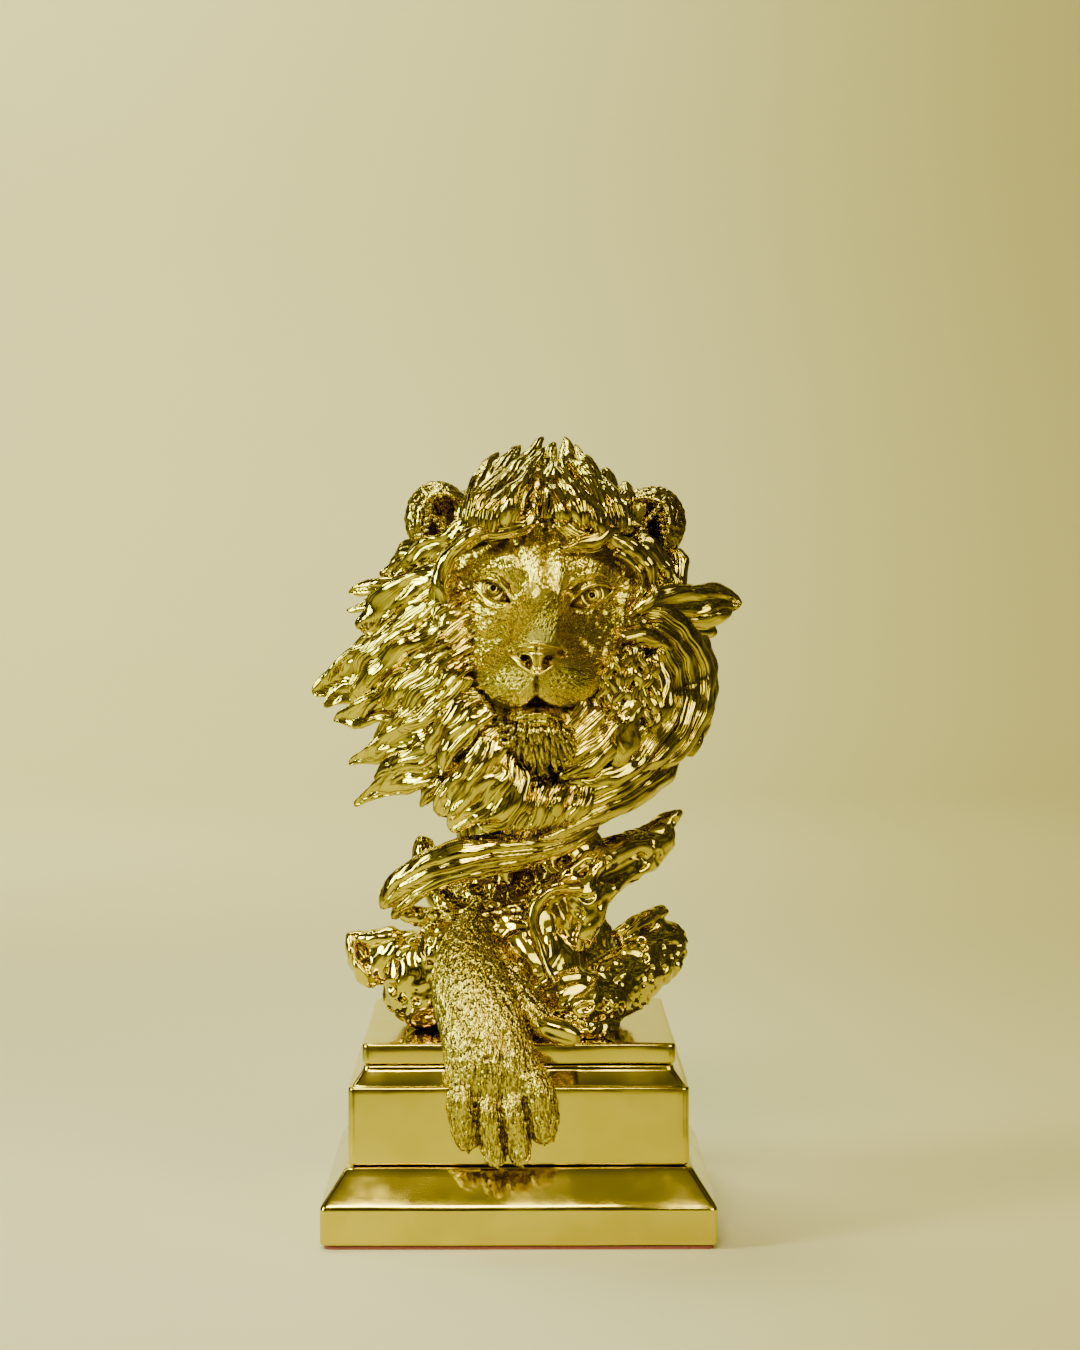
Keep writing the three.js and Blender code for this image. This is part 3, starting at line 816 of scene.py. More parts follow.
points += normals * (
    (0.95 + 0.5 * tips) * (clumps - 0.5) + (0.60 + 0.5 * tips) * (hairs - 0.4)
)[:, None]
set_points(leg, points * MM)
nails = []
for toe, lean in zip(TOES, (1.2, 2.2, 1.6, 0.4)):
    x, z, w = toe[-1]
    nails.append(
        limb(
            "nail",
            [
                (x - lean, LEG_FRONT - 2.0, z + 4, 1.2, 1.6),
                (x - 0.3 * lean, LEG_FRONT - 3.4, z + 0.2, 1.1, 1.5),
                (x + 0.4 * lean, LEG_FRONT - 2.2, z - 3.0, 0.5, 0.7),
            ],
            around=16,
            rings=14,
        )
    )
leg = merge([leg, *nails], "foreleg_cast")
smooth(leg)
wear_slot(leg, paw_fur, "foreleg")

inner_toe = clay(
    "dewclaw_toe",
    [
        limb(
            "toe",
            [
                (-6, -62, 121, 6, 7),
                (0, -70, 112, 6.5, 7),
                (7, -77, 103, 6.5, 7),
                (12, -80, 97, 5.4, 6),
            ],
        )
    ],
    0.62,
    2,
)
points, normals = get_points(inner_toe) / MM, normals_of(inner_toe)
along = points @ unit(np.array([18.0, -18, -24]))
side = points @ unit(np.array([24.0, 4, 18]))
strands = grain_of(np.stack([side, points[:, 1], along], axis=1), (1.5, 2.2, 8), 4)
points += normals * (1.9 * (strands - 0.5))[:, None]
set_points(inner_toe, points * MM)
nail = limb(
    "bare_nail",
    [
        (8, -79, 100.5, 4.5, 5),
        (14, -82, 97.5, 5.6, 5.4),
        (20, -83.5, 95.5, 5.6, 5.0),
        (25.6, -84, 93.6, 3.6, 3.4),
    ],
    around=40,
    rings=28,
)
smooth(nail)
points = get_points(nail) / MM
points[:, 1] += 1.0 * np.exp(-((near_line(points, [(12, 97), (25, 93)]) / 1.6) ** 2)) * (
    points[:, 1] < -84
)
set_points(nail, points * MM)
smooth(inner_toe)
wear_slot(inner_toe, paw_fur, "dewclaw")
wear_slot(nail, polished)

# ---------------------------------------------------------------------------- neck and its sash
# A furred neck in deep shade under the mane, and a broad grooved lock swept round its front that
# ends in a ragged tip on the left.


def unsettle(made, dents, sway, seed):
    """Bends a casting a little and works dents and creases into it."""
    points = get_points(made) / MM
    for axis in range(3):
        points[:, axis] += sway * waves(points, 17, seed + axis)
    normals = normals_of(made)
    dented = grain_of(points, (3.6, 3.6, 3.6), seed) - 0.5
    creased = np.abs(grain_of(points, (6.5, 6.5, 6.5), seed + 1) * 2 - 1)
    fine = grain_of(points, (1.7, 1.7, 1.7), seed + 2) - 0.5
    depth = 1.3 * dented - 0.9 * (0.4 - np.minimum(creased, 0.4)) + 0.35 * fine
    points += normals * (dents * depth)[:, None]
    set_points(made, points * MM)


def lock(
    stations,
    facing=FRONTWARDS,
    strands=5,
    groove=0.16,
    cup=0.0,
    curl=0.0,
    seed=1,
    tail=0.35,
    fray=0.0,
):
    """A lock of mane drawn out along stations of x, y, z, half width, half thickness.

    strands: how many ribs cross its outer face, groove: how deep, as a share of its width,
    cup: how hollow the outer face is, curl: turns it about its line, in radians, tail: how much
    of its far end is left smooth, fray: how ragged its edges are."""
    chance = np.random.default_rng(seed)
    strands = round(1.35 * strands)
    spine = np.array(stations, float)[:, :3]
    length = np.linalg.norm(np.diff(spine, axis=0), axis=1).sum()
    around = int(min(96, 18 + 9 * strands))
    rings = int(np.clip(length / 1.5, 16, 64))
    made, along, turn = ringed_ball("lock", around, rings)
    rows = along_line(stations, along)
    wide, thick = np.maximum(rows[:, 3], 0.25), np.maximum(rows[:, 4], 0.2)
    tangent = unit(
        along_line(stations, along + 1e-3)[:, :3] - along_line(stations, along - 1e-3)[:, :3]
    )
    across = unit(np.cross(tangent, np.broadcast_to(facing, tangent.shape)))
    out = np.cross(across, tangent)
    roll = (curl * along)[:, None]
    across, out = (
        across * np.cos(roll) + out * np.sin(roll),
        out * np.cos(roll) - across * np.sin(roll),
    )
    a, b, c, d = chance.uniform(0, 2 * math.pi, 4)
    lean = turn + 0.30 * np.sin(2 * turn + a + 1.5 * along) + 0.16 * np.sin(3 * turn + b)
    lane = lean * strands / math.pi + 0.35 * np.sin(4 * along + c)
    rib = np.abs(np.sin(math.pi * lane)) ** 0.6 - 0.75
    rib2 = np.abs(np.sin(math.pi * (lane * 2 + 0.5 * np.sin(5 * along + d)))) ** 0.8 - 0.6
    which = chance_at(
        np.stack([np.floor(lane).astype(np.int64)] * 3, axis=1) + np.array([0, 5, 9]), seed
    )
    keep = 1 - np.clip((along - 1 + tail) / max(tail, 1e-3), 0, 1) ** 1.5
    relief = keep * (1.35 * groove * rib * (0.45 + 1.1 * which) + 0.28 * groove * rib2)
    c1, s1 = np.cos(turn), np.sin(turn)
    blunt = np.sqrt(1 - (1 - np.clip(along / 0.08, 0, 1)) ** 2)
    blunt = blunt * np.sqrt(1 - (1 - np.clip((1 - along) / 0.10, 0, 1)) ** 2)
    ragged = 1 + fray * 0.5 * np.sin(along * length * 0.9 + a) * np.sin(along * length * 0.37 + b)
    thin = np.sign(s1) * np.abs(s1) ** 1.35
    face = np.where(s1 > 0, thin * (1 - cup * thin**2), 0.75 * thin)
    sideways = wide * blunt * c1 * (1 + 0.5 * relief) * ragged
    outwards = thick * blunt * face + wide * blunt * relief * np.abs(s1) * np.where(
        s1 > 0, 1, -1
    )
    points = rows[:, :3] + across * sideways[:, None] + out * outwards[:, None]
    set_points(made, points * MM)
    round_it = np.abs((turn + 1.5 * math.pi) % (2 * math.pi) - math.pi) * wide
    lay = np.stack([round_it + 9.0 * seed, 0.07 * along * length, 0 * along], axis=1)
    mark = made.data.attributes.new("lay", "FLOAT_VECTOR", "POINT")
    mark.data.foreach_set("vector", lay.ravel())
    return made


def tress(*stations, **working):
    """A lock that is still to be cast: its stations, and how this one is worked."""
    return stations, working


def cast_locks(locks, name, look, *nodes, dents=0.55, sway=1.1, **settings):
    """One casting of many locks, made uneven by hand: sway bends it, dents facets it (in mm)."""
    made = merge([lock(stations, **{**settings, **own}) for stations, own in locks], name)
    unsettle(made, dents, sway, len(name))
    smooth(made)
    wear_slot(made, look, *nodes)
    return made


def hair_grain(tree):
    """Hairs too fine for the mesh, drawn along each lock, with painted shade in the dips between
    them.
    """
    lay = node(tree, "ShaderNodeAttribute", dict(attribute_name="lay"), out="Vector")
    fine = noise(tree, lay, 0.95, 2.0)
    broad = noise(tree, lay, 0.38, 1.0)
    # painted shade in the dips between hairs
    return fine * 0.20 + broad * 0.45, (fine + broad).between(0.96, 0.78) * 0.7


glossy = gold("glossy_locks", hair_grain, rough=0.07, wear=0.25)

neck = clay(
    "neck_column_cast",
    [
        limb(
            "neck",
            [
                (-6, 6, 132, 30, 26),
                (-6, 4, 154, 26, 24),
                (-2, 4, 178, 27, 26),
                (2, 6, 208, 30, 30),
            ],
        ),
        limb("band", [(16, -26, 160, 10, 8), (24, -24, 168, 10, 8), (36, -16, 172, 8, 7)]),
        limb("fold", [(-40, -10, 160, 6, 6), (-36, -20, 148, 7, 7), (-26, -28, 140, 7, 7)]),
    ],
    1.0,
    6,
)
points, normals = get_points(neck) / MM, normals_of(neck)
for x, z, size in [(2.3, 157, 5.0), (20.6, 166, 3.8), (31, 166.5, 3.2), (-14, 158, 4)]:
    hollow = np.exp(-((np.hypot(points[:, 0] - x, (points[:, 2] - z) * 1.2) / size) ** 4))
    points[:, 1] += 7.5 * hollow * (points[:, 1] < 0)
sway = waves(points, 26, 40) * 3
flow = np.stack([points[:, 0] + sway + 0.5 * points[:, 2], points[:, 1], points[:, 2]], axis=1)
tufts = np.abs(grain_of(flow, (3.4, 3.4, 13), 5) * 2 - 1) * 1.6 + grain_of(flow, (1.8, 2, 6), 6)
points += normals * (0.6 * (tufts - 1.1))[:, None]
set_points(neck, points * MM)
wear_slot(neck, rocky, "neck_column")

cast_locks(
    [
        tress(
            (36, -28, 184, 5, 5), (20, -40, 176.5, 6, 6), (0, -50, 173, 8.5, 7),
            (-22, -54, 170, 10, 7), (-42, -50, 163, 9, 6), (-55, -46, 155, 6.5, 5),
            (-63, -43, 146, 3.2, 3), strands=4, groove=0.17, tail=0.12, fray=0.05, seed=3,
        ),
        tress(
            (14, -42, 170, 3, 3), (-6, -52, 167, 3.4, 4), (-26, -56, 163, 3.6, 4),
            (-44, -50, 155, 3.4, 4), (-56, -46, 145, 2.4, 3), strands=3, groove=0.2, seed=9,
            fray=0.1,
        ),
        tress(
            (-44, -2, 162, 6, 6), (-44, 0, 170, 5, 5), (-43, 1, 174, 3, 3), strands=3, groove=0.2,
            seed=14,
        ),
        tress(
            (-30, -46, 166, 4, 4), (-46, -44, 154, 3.6, 4), (-58, -42, 141, 2.0, 2.4), strands=3,
            groove=0.2, seed=15,
        ),
    ],
    "neck_sash_cast",
    glossy,
    "neck_sash",
    dents=0.25,
    sway=0.5,
)

# ---------------------------------------------------------------------------- head
# The lion's face under short dense fur, with a bare nose, set eyes, whisker pads and a mouth that
# the lower jaw closes. A smooth skin is drawn through marks of how far each place of the face
# stands forward; the features are then cut into it from the front.


def face_grain(tree):
    """Short hairs that lie away from the nose and fade out on bare leather and the eyes."""
    bare = node(tree, "ShaderNodeAttribute", dict(attribute_name="bare"), out="Fac")
    lay = node(tree, "ShaderNodeAttribute", dict(attribute_name="lay"), out="Vector")
    hairs = noise(tree, lay, 1.6, 1.0)
    tufts = noise(tree, lay, 0.75, 0.0)
    sunk = node(tree, "ShaderNodeAttribute", dict(attribute_name="sunk"), out="Fac")
    # painted shade in the dips between hairs, none on bare leather and the eyes
    groove_shade = (hairs + tufts * 0.5).between(0.76, 0.62) * (1 - bare) * 0.40
    # painted shade of the eyes, nostrils, mouth line and whisker pits joins it
    groove_shade = groove_shade.maths("MAXIMUM", groove_shade, sunk)
    return (hairs * 0.50 + tufts * 0.55) * (1 - bare), groove_shade


face_fur = gold("face_fur", face_grain, rough=0.22, wear=0.15)

# x and z of a place on the face, and how far forward it stands
MARKS = [
    # forehead
    (12, 326, 42), (12, 315, 49), (13, 306, 55.5), (-8, 317, 43), (-20, 309, 39),
    (-2, 307, 53.5), (26, 306, 54), (34, 315, 43), (45, 307, 41), (13, 298, 58.5),
    # brows
    (-3, 301, 55.5), (-12, 301.5, 51), (-22, 300, 42), (28, 299, 55.5), (37, 298, 51),
    (48, 295, 41),
    # sockets
    (-12.5, 291, 46), (-4.5, 287.5, 48), (-21.5, 293, 38.5), (33, 288.5, 47), (22.5, 286, 49.5),
    (43, 289, 40.5),
    # bridge of the nose and its sides
    (12.5, 290, 64), (12, 281, 71.5), (11, 273, 80), (9, 267.8, 87), (4, 291, 57.5),
    (20.5, 290, 58), (3.2, 282, 63), (20, 281, 64), (0, 273, 70), (19.8, 272, 71),
    (-3, 267.5, 75.5), (19.8, 266.5, 76.5), (8.4, 262, 86.5), (8, 257, 84),
    # below the eyes
    (-13, 281, 51), (-23, 284, 44), (-28, 277, 39), (-15, 271, 54.5), (-25, 264, 47),
    (34, 279, 51.5), (45, 281, 44.5), (35, 269, 55), (46, 268, 47),
    # cheeks beside the muzzle
    (-7, 266, 66), (-15, 259, 61), (-22, 250, 55), (-25, 241, 44), (23, 265, 67), (33, 258, 62),
    (40, 250, 56), (43, 241, 44),
    # whisker pads
    (-4, 254, 77), (0.5, 249, 80.5), (-10, 249, 73), (-16, 249, 65.5), (-9, 242, 69),
    (0, 241.5, 76.5),
    (19, 254, 78), (15.5, 249, 81), (27, 249, 73), (33, 249, 66), (26, 242, 69), (16, 241.5, 76.5),
    (8, 250, 80.5), (8, 244, 77),
    # under the mouth
    (8, 238, 68), (-8, 237, 57), (24, 237, 56.5), (8, 229, 58), (-14, 228, 42), (30, 228, 42),
    # outline, out of sight in the mane
    (-36, 300, 35), (-37, 282, 36), (-34, 262, 39), (-31, 244, 41), (-24, 226, 34), (56, 300, 37),
    (57, 282, 37), (56, 262, 40), (51, 244, 42), (40, 226, 34), (-26, 322, 30), (50, 322, 30),
    (8, 220, 40),
]


def drawn_skin(marks, x, z):
    """How far forward a smooth skin through the marks stands at x, z (a thin plate)."""
    marks = np.array(marks, float)

    def bend(a, b):
        apart = ((a[:, None] - b[None]) ** 2).sum(2)
        return apart * np.log(apart + 1e-6)

    def flat(a):
        return np.column_stack([np.ones(len(a)), a])

    count = len(marks)
    system = np.zeros((count + 3, count + 3))
    system[:count, :count] = bend(marks[:, :2], marks[:, :2]) + 60 * np.eye(count)
    system[:count, count:] = flat(marks[:, :2])
    system[count:, :count] = flat(marks[:, :2]).T
    weights = np.linalg.solve(system, np.append(marks[:, 2], [0, 0, 0]))
    places = np.column_stack([x, z])
    return bend(places, marks[:, :2]) @ weights[:count] + flat(places) @ weights[count:]


FACE_LEFT, FACE_RIGHT, FACE_LOW, FACE_HIGH = -37.0, 58.0, 221.0, 329.0
bpy.ops.object.select_all(action="DESELECT")
bpy.ops.mesh.primitive_grid_add(x_subdivisions=236, y_subdivisions=268, size=1)
head = bpy.context.object
head.name = "face_skin"
bpy.ops.object.mode_set(mode="EDIT")
bpy.ops.mesh.select_mode(type="EDGE")
bpy.ops.mesh.select_all(action="DESELECT")
bpy.ops.mesh.select_non_manifold()
bpy.ops.mesh.extrude_region_move(TRANSFORM_OT_translate=dict(value=(0, 0, -1)))
bpy.ops.mesh.edge_face_add()
bpy.ops.object.mode_set(mode="OBJECT")
points = get_points(head)
rear = points[:, 2] < -0.5
x = FACE_LEFT + (FACE_RIGHT - FACE_LEFT) * (points[:, 0] + 0.5)
z = FACE_LOW + (FACE_HIGH - FACE_LOW) * (points[:, 1] + 0.5)
reach = (np.abs((x - 10.5) / 45) ** 2.6 + np.abs((z - 276) / 51) ** 2.6) ** (1 / 2.6)
beyond = np.clip(reach - 1, 0, None)
pull = np.where(beyond > 0, (1 + 0.12 * (1 - np.exp(-2 * beyond))) / np.maximum(reach, 1), 1)
x, z = 10.5 + (x - 10.5) * pull, 276 + (z - 276) * pull
forward = np.maximum(drawn_skin(MARKS, x, z), 12) * np.exp(-3.0 * beyond)
forward = np.where(rear, 0.0, np.maximum(forward, 4))
points = np.stack([x, -forward, z], axis=1)
bare = np.zeros(len(points))
front = 1.0 - rear
back = np.zeros(len(points))


def spot(x, z, wide, tall, lean=0.0):
    """A soft round patch of the face, seen from the front."""
    dx, dz = points[:, 0] - x, points[:, 2] - z
    u = dx * math.cos(lean) + dz * math.sin(lean)
    v = dz * math.cos(lean) - dx * math.sin(lean)
    return np.exp(-((u / wide) ** 2) - ((v / tall) ** 2)) * front


def stroke(line, width):
    return np.exp(-((near_line(points, line) / width) ** 2)) * front


def soft(value, low, high):
    share = np.clip((value - low) / (high - low), 0, 1)
    return share * share * (3 - 2 * share)


STROKE_POINTS = 24


def smooth_strokes(corners):
    """A smooth line through a few points of the face."""
    return along_line(corners, np.linspace(0, 1, STROKE_POINTS))


# folds of the brow, the crease up the forehead and the edges of the bridge
back += 1.7 * stroke(smooth_strokes([(13.4, 318), (13.6, 306), (12.8, 296), (12.0, 291)]), 1.8)
back -= 1.0 * stroke(smooth_strokes([(8.4, 312), (8.2, 300), (7.0, 290)]), 2.2)
back -= 1.2 * stroke(smooth_strokes([(18.4, 312), (18.2, 300), (18.4, 286), (17.8, 276)]), 2.0)
back += 1.2 * stroke(smooth_strokes([(-1, 310), (2.4, 300), (1.6, 291), (-0.8, 284)]), 2.0)
back += 1.2 * stroke(smooth_strokes([(26, 308), (24, 299), (24, 291), (24.5, 284)]), 2.0)
back -= 1.3 * spot(-9, 305, 6.5, 3.0, 0.15) + 1.2 * spot(34, 303, 6.5, 3.0, -0.25)
back += 0.9 * stroke(smooth_strokes([(-20, 304), (-10, 310), (-2, 311)]), 1.6)
back += 0.9 * stroke(smooth_strokes([(46, 300), (36, 307.5), (27, 310)]), 1.6)
back += 1.5 * stroke(smooth_strokes([(-3, 283), (-4.5, 274), (-8, 266), (-15, 262)]), 2.2)
back += 1.5 * stroke(smooth_strokes([(23, 283), (24, 274), (26, 267), (33, 262)]), 2.2)
back += 1.3 * stroke(smooth_strokes([(-27, 268), (-24, 258), (-22, 247), (-17, 239)]), 2.4)
back += 1.5 * stroke(smooth_strokes([(44, 272), (37, 264), (39, 254), (36, 244)]), 1.8)
back -= 1.0 * stroke(smooth_strokes([(47, 272), (40, 267), (33, 263)]), 1.6)
back += 0.8 * stroke(smooth_strokes([(-24, 283), (-17, 280), (-9, 279)]), 1.4)
back += 0.8 * stroke(smooth_strokes([(44, 280), (37, 278), (29, 277.5)]), 1.4)
points[:, 1] += back
back[:] = 0

sunk = np.zeros(len(points))
# eyes: an almond opening, the ball behind it with iris and pupil, a rim and a fold to each lid
for outer, inner, iris, high, low in [
    ((-20.6, 293.4), (-3.6, 285.0), (-11.4, 291.2), 4.5, 2.9),
    ((42.4, 290.2), (22.6, 283.0), (33.0, 288.0), 4.3, 3.4),
]:
    outer, inner, iris = (np.array(p) for p in (outer, inner, iris))
    axis = inner - outer
    span = np.linalg.norm(axis)
    upward = np.array([-axis[1], axis[0]]) / span
    upward *= np.sign(upward[1])
    flat = points[:, [0, 2]] - outer
    u = flat @ axis / span**2
    v = flat @ upward
    mid = np.clip(u, 0, 1)
    top = high * np.sin(math.pi * mid**0.82)
    bottom = -low * np.sin(math.pi * mid**1.15)
    lid = soft(u, -0.10, 0.10) * (1 - soft(u, 0.88, 1.06))
    inside = soft(np.minimum(top - v, v - bottom), -0.25, 0.35) * ((u > 0) & (u < 1)) * front
    away = np.linalg.norm(points[:, [0, 2]] - iris, axis=1)
    centre = (outer + inner) / 2
    ball = np.linalg.norm(points[:, [0, 2]] - centre, axis=1)
    near = np.argmin(ball + 1e3 * rear)
    stand = -points[near, 1] - 0.9
    shape = stand + np.sqrt(np.clip(11.5**2 - ball**2, 30, None)) - 11.5
    shape -= 0.9 * np.exp(-(((away - 3.9) / 0.5) ** 2)) + 0.6 * (1 - soft(away, 2.6, 3.6))
    shape += 0.5 * np.exp(-(((away - 1.7) / 0.5) ** 2)) - 1.8 * (1 - soft(away, 0.6, 1.3))
    points[:, 1] += inside * (-shape - points[:, 1])
    outside = (1 - inside) * front
    back -= 2.4 * np.exp(-((np.clip(v - top - 0.2, -9, 9) - 0.8) ** 2) / 0.9) * lid * outside
    back += 1.5 * np.exp(-(((v - top - 3.6) / 0.9) ** 2)) * lid * outside
    back -= 1.3 * np.exp(-(((v - top - 6.2) / 1.9) ** 2)) * lid * outside
    back -= 1.2 * np.exp(-((v - bottom + 0.8) ** 2) / 0.7) * lid * outside
    back += 1.0 * np.exp(-(((v - bottom + 3.1) / 0.9) ** 2)) * lid * outside
    duct = [inner - 0.05 * axis, inner + 0.12 * axis + (0, -1.4), inner + 0.2 * axis + (0, -4.5)]
    back += 1.5 * stroke(smooth_strokes(duct), 0.9)
    bare = np.maximum(bare, inside)
    # painted shade: a dark ring round the iris, a dark pupil and a dark line along the top of the
    # opening under the upper lid
    ring = np.exp(-(((away - 3.6) / 0.7) ** 2)) + 1.2 * (1 - soft(away, 0.9, 1.8))
    shade = np.exp(-(((v - top + 0.5) / 0.7) ** 2)) * lid
    sunk = np.maximum(sunk, np.clip(ring * inside + shade, 0, 1))
    bare = np.maximum(bare, np.exp(-(((v - top - 0.9) / 1.0) ** 2)) * lid)
    bare = np.maximum(bare, np.exp(-(((v - bottom + 0.8) / 0.9) ** 2)) * lid)

# nose: bare leather under a crisp upper edge, wings, curled nostrils, a cleft down to the lip
px, pz = points[:, 0], points[:, 2]
leather_top = np.interp(
    px, [-8, -3.5, 2, 7, 13, 19, 24], [262.6, 265.8, 267.2, 267.6, 266.6, 264.8, 261.6]
)
half = np.interp(pz, [252.5, 255, 257.5, 260, 262.5, 266], [1.0, 2.6, 6.0, 10.6, 14.4, 14.6])
nose = soft(half - np.abs(px - 7.8), -0.4, 0.5) * soft(pz, 252.5, 254.5)
nose = nose * (1 - soft(pz, leather_top - 0.45, leather_top + 0.2)) * front
lip_of_nose = np.exp(-(((pz - leather_top - 0.5) / 0.8) ** 2)) * (1 - soft(np.abs(px - 8), 13, 16))
back -= 1.3 * lip_of_nose * front
back += nose * (0.6 + 2.4 * np.exp(-(((pz - leather_top + 1.7) / 1.6) ** 2)))
bare = np.maximum(bare, nose)
bare = np.maximum(bare, lip_of_nose * front)
for side, inner_x, outer_x in [(-1, 4.4, -2.6), (1, 11.6, 18.6)]:
    slit = smooth_strokes(
        [
            (inner_x, 258.2),
            (inner_x + side * 0.6, 260.6),
            (inner_x + side * 3.4, 261.6),
            (outer_x, 263.4),
        ]
    )
    back += 4.6 * stroke(slit[:12], 1.35) + 2.2 * stroke(slit[10:], 0.85)
    # painted shade in the nostril's slit
    sunk = np.maximum(sunk, stroke(slit[:16], 1.1))
    rim = smooth_strokes(
        [
            (8 + side * 1.2, 253.8),
            (inner_x + side * 0.6, 256.0),
            (inner_x + side * 5.2, 258.9),
            (outer_x + side * 2.4, 262.0),
        ]
    )
    back -= 1.9 * stroke(rim, 0.95)
    bare = np.maximum(bare, stroke(rim, 1.0))
    back -= 1.2 * spot(outer_x + side * 2.4, 263.2, 2.0, 2.2)
back += 1.3 * stroke([(8, 265.5), (8, 257)], 0.75)
back -= 1.6 * spot(8, 254.6, 1.9, 1.7)
back += 2.4 * stroke([(7.9, 252.6), (7.7, 242.6)], 0.95)
back -= 0.6 * stroke([(5.6, 251), (5.2, 245)], 1.2) + 0.6 * stroke([(10.2, 251), (10.6, 245)], 1.2)

# mouth line, pads and the rows of whisker pits
mouth_left = smooth_strokes([(7.7, 242.6), (2.4, 238.4), (-4.5, 237.4), (-11, 239.6), (-16.5, 245)])
mouth_right = smooth_strokes(
    [(7.7, 242.6), (13.4, 238.8), (21.0, 237.6), (29.5, 239.8), (37, 246.4)]
)
for line in (mouth_left, mouth_right):
    back += 4.6 * stroke(line, 1.15)
    # painted shade along the mouth line
    sunk = np.maximum(sunk, 0.8 * stroke(line, 0.9))
    back -= 1.2 * stroke(line + (0, 2.0), 1.2)
    below = np.interp(px, *zip(*sorted(map(tuple, line)))) - pz
    back += 3.0 * soft(below, 0, 3) * stroke(line - (0, 2.4), 2.6)
for row in range(5):
    for k in range(7):
        for side, first in [(-1, 1.4), (1, 14.4)]:
            dot_x = first + side * (k * 2.45 + (row % 2) * 1.1)
            dot_z = 253.4 - row * 2.4 - 0.026 * (k * 2.4) ** 2 * (0.3 + 0.14 * row)
            back += 0.8 * spot(dot_x, dot_z, 0.60, 0.50)
            # painted shade in each whisker pit
            sunk = np.maximum(sunk, 0.7 * spot(dot_x, dot_z, 0.55, 0.45))
points[:, 1] += back
set_points(head, points * MM)
from_nose = np.stack([points[:, 0] - 8.2, points[:, 2] - 259.0], axis=1)
spread = np.arctan2(from_nose[:, 0], from_nose[:, 1])
reach = np.linalg.norm(from_nose, axis=1)
lay = np.stack([34 * spread, points[:, 1] * 0.2, 0.30 * reach], axis=1)
normals = normals_of(head)
stipple = grain_of(lay, (1.0, 1, 0.42), 7) - 0.5
tufted = grain_of(lay, (2.2, 2, 0.9), 9) - 0.5
covered = (1 - bare) * front
points += normals * ((0.50 * stipple + 0.55 * tufted) * covered)[:, None]
set_points(head, points * MM)
# painted shade down the cleft from the nose to the lip
sunk = np.maximum(sunk, 0.8 * stroke([(7.9, 252.6), (7.7, 242.6)], 0.7))
for name, kind, values in [
    ("bare", "FLOAT", bare),
    ("sunk", "FLOAT", sunk),
    ("lay", "FLOAT_VECTOR", lay),
]:
    mark = head.data.attributes.new(name, kind, "POINT")
    mark.data.foreach_set("value" if kind == "FLOAT" else "vector", np.ravel(values))
head = merge([head, lump((10, -6, 288), (38, 36, 40))], "head_cast")
smooth(head)
wear_slot(head, face_fur, "head")

# ---------------------------------------------------------------------------- lower jaw
# The chin and its lip, with a tuft of long hair that hangs from it.
jaw = clay(
    "chin",
    [
        lump((8, -56, 234), (16, 20, 8.5)),
        lump((8, -61, 231.5), (12, 12, 6.8)),
        lump((8, -52, 224), (17, 15, 12)),
    ],
    0.7,
    6,
)
points, normals = get_points(jaw) / MM, normals_of(jaw)
lip = smooth_strokes([(-3, 232.8), (3, 235.2), (9, 236.4), (16, 234.8), (21, 232.6)])
points[:, 1] -= 1.3 * np.exp(-((near_line(points, lip) / 0.9) ** 2)) * (points[:, 1] < -56)
points[:, 1] += 0.9 * np.exp(-((near_line(points, lip - (0, 2.6)) / 1.0) ** 2)) * (
    points[:, 1] < -56
)
hair = grain_of(points, (1.1, 1.6, 4.5), 3) + 0.6 * grain_of(points, (2.2, 2.6, 8), 4)
points += normals * (0.9 * (hair - 0.8) * soft(232 - points[:, 2], 0, 3))[:, None]
set_points(jaw, points * MM)
chance = np.random.default_rng(21)
tuft = []
for k in range(66):
    layer = k // 22
    x = -7 + 30 * (k % 22) / 21 + chance.uniform(-0.7, 0.7)
    drop = 20 - 0.055 * (x - 10) ** 2 + chance.uniform(-2.5, 2.0) - 3.6 * layer
    aside = 0.10 * (x - 9) + 0.10 * drop + chance.uniform(-0.8, 0.8)
    z = 229.5 + 1.9 * layer - 0.02 * (x - 9) ** 2
    y = -67.5 - 2.6 * layer + 0.02 * (x - 8) ** 2
    tuft.append(
        lock(
            [
                (x, y + 2, z, 1.1, 1.8),
                (x + aside * 0.3, y - 2.4, z - drop * 0.4, 1.3, 1.5),
                (x + aside * 0.8 + 0.5 * math.sin(k * 2.1), y - 1.6, z - drop * 0.75, 1.0, 1.1),
                (x + aside * 1.2, y + 1.5, z - drop, 0.4, 0.5),
            ],
            strands=2,
            groove=0.15,
            seed=k,
        )
    )
jaw = merge([jaw, *tuft], "lower_jaw_cast")
smooth(jaw)
wear_slot(jaw, gold("beard_fur", fur_grain(0.0008, (1, 0.9, 0.3), 0.16), rough=0.12), "lower_jaw")

# ---------------------------------------------------------------------------- ears
# Two round cupped ears with a thick furred rim and long hairs that cross the hollow.
ear_fur = gold("ear_fur", fur_grain(0.0009, (1, 1, 0.6), 0.30), rough=0.15, wear=0.2)


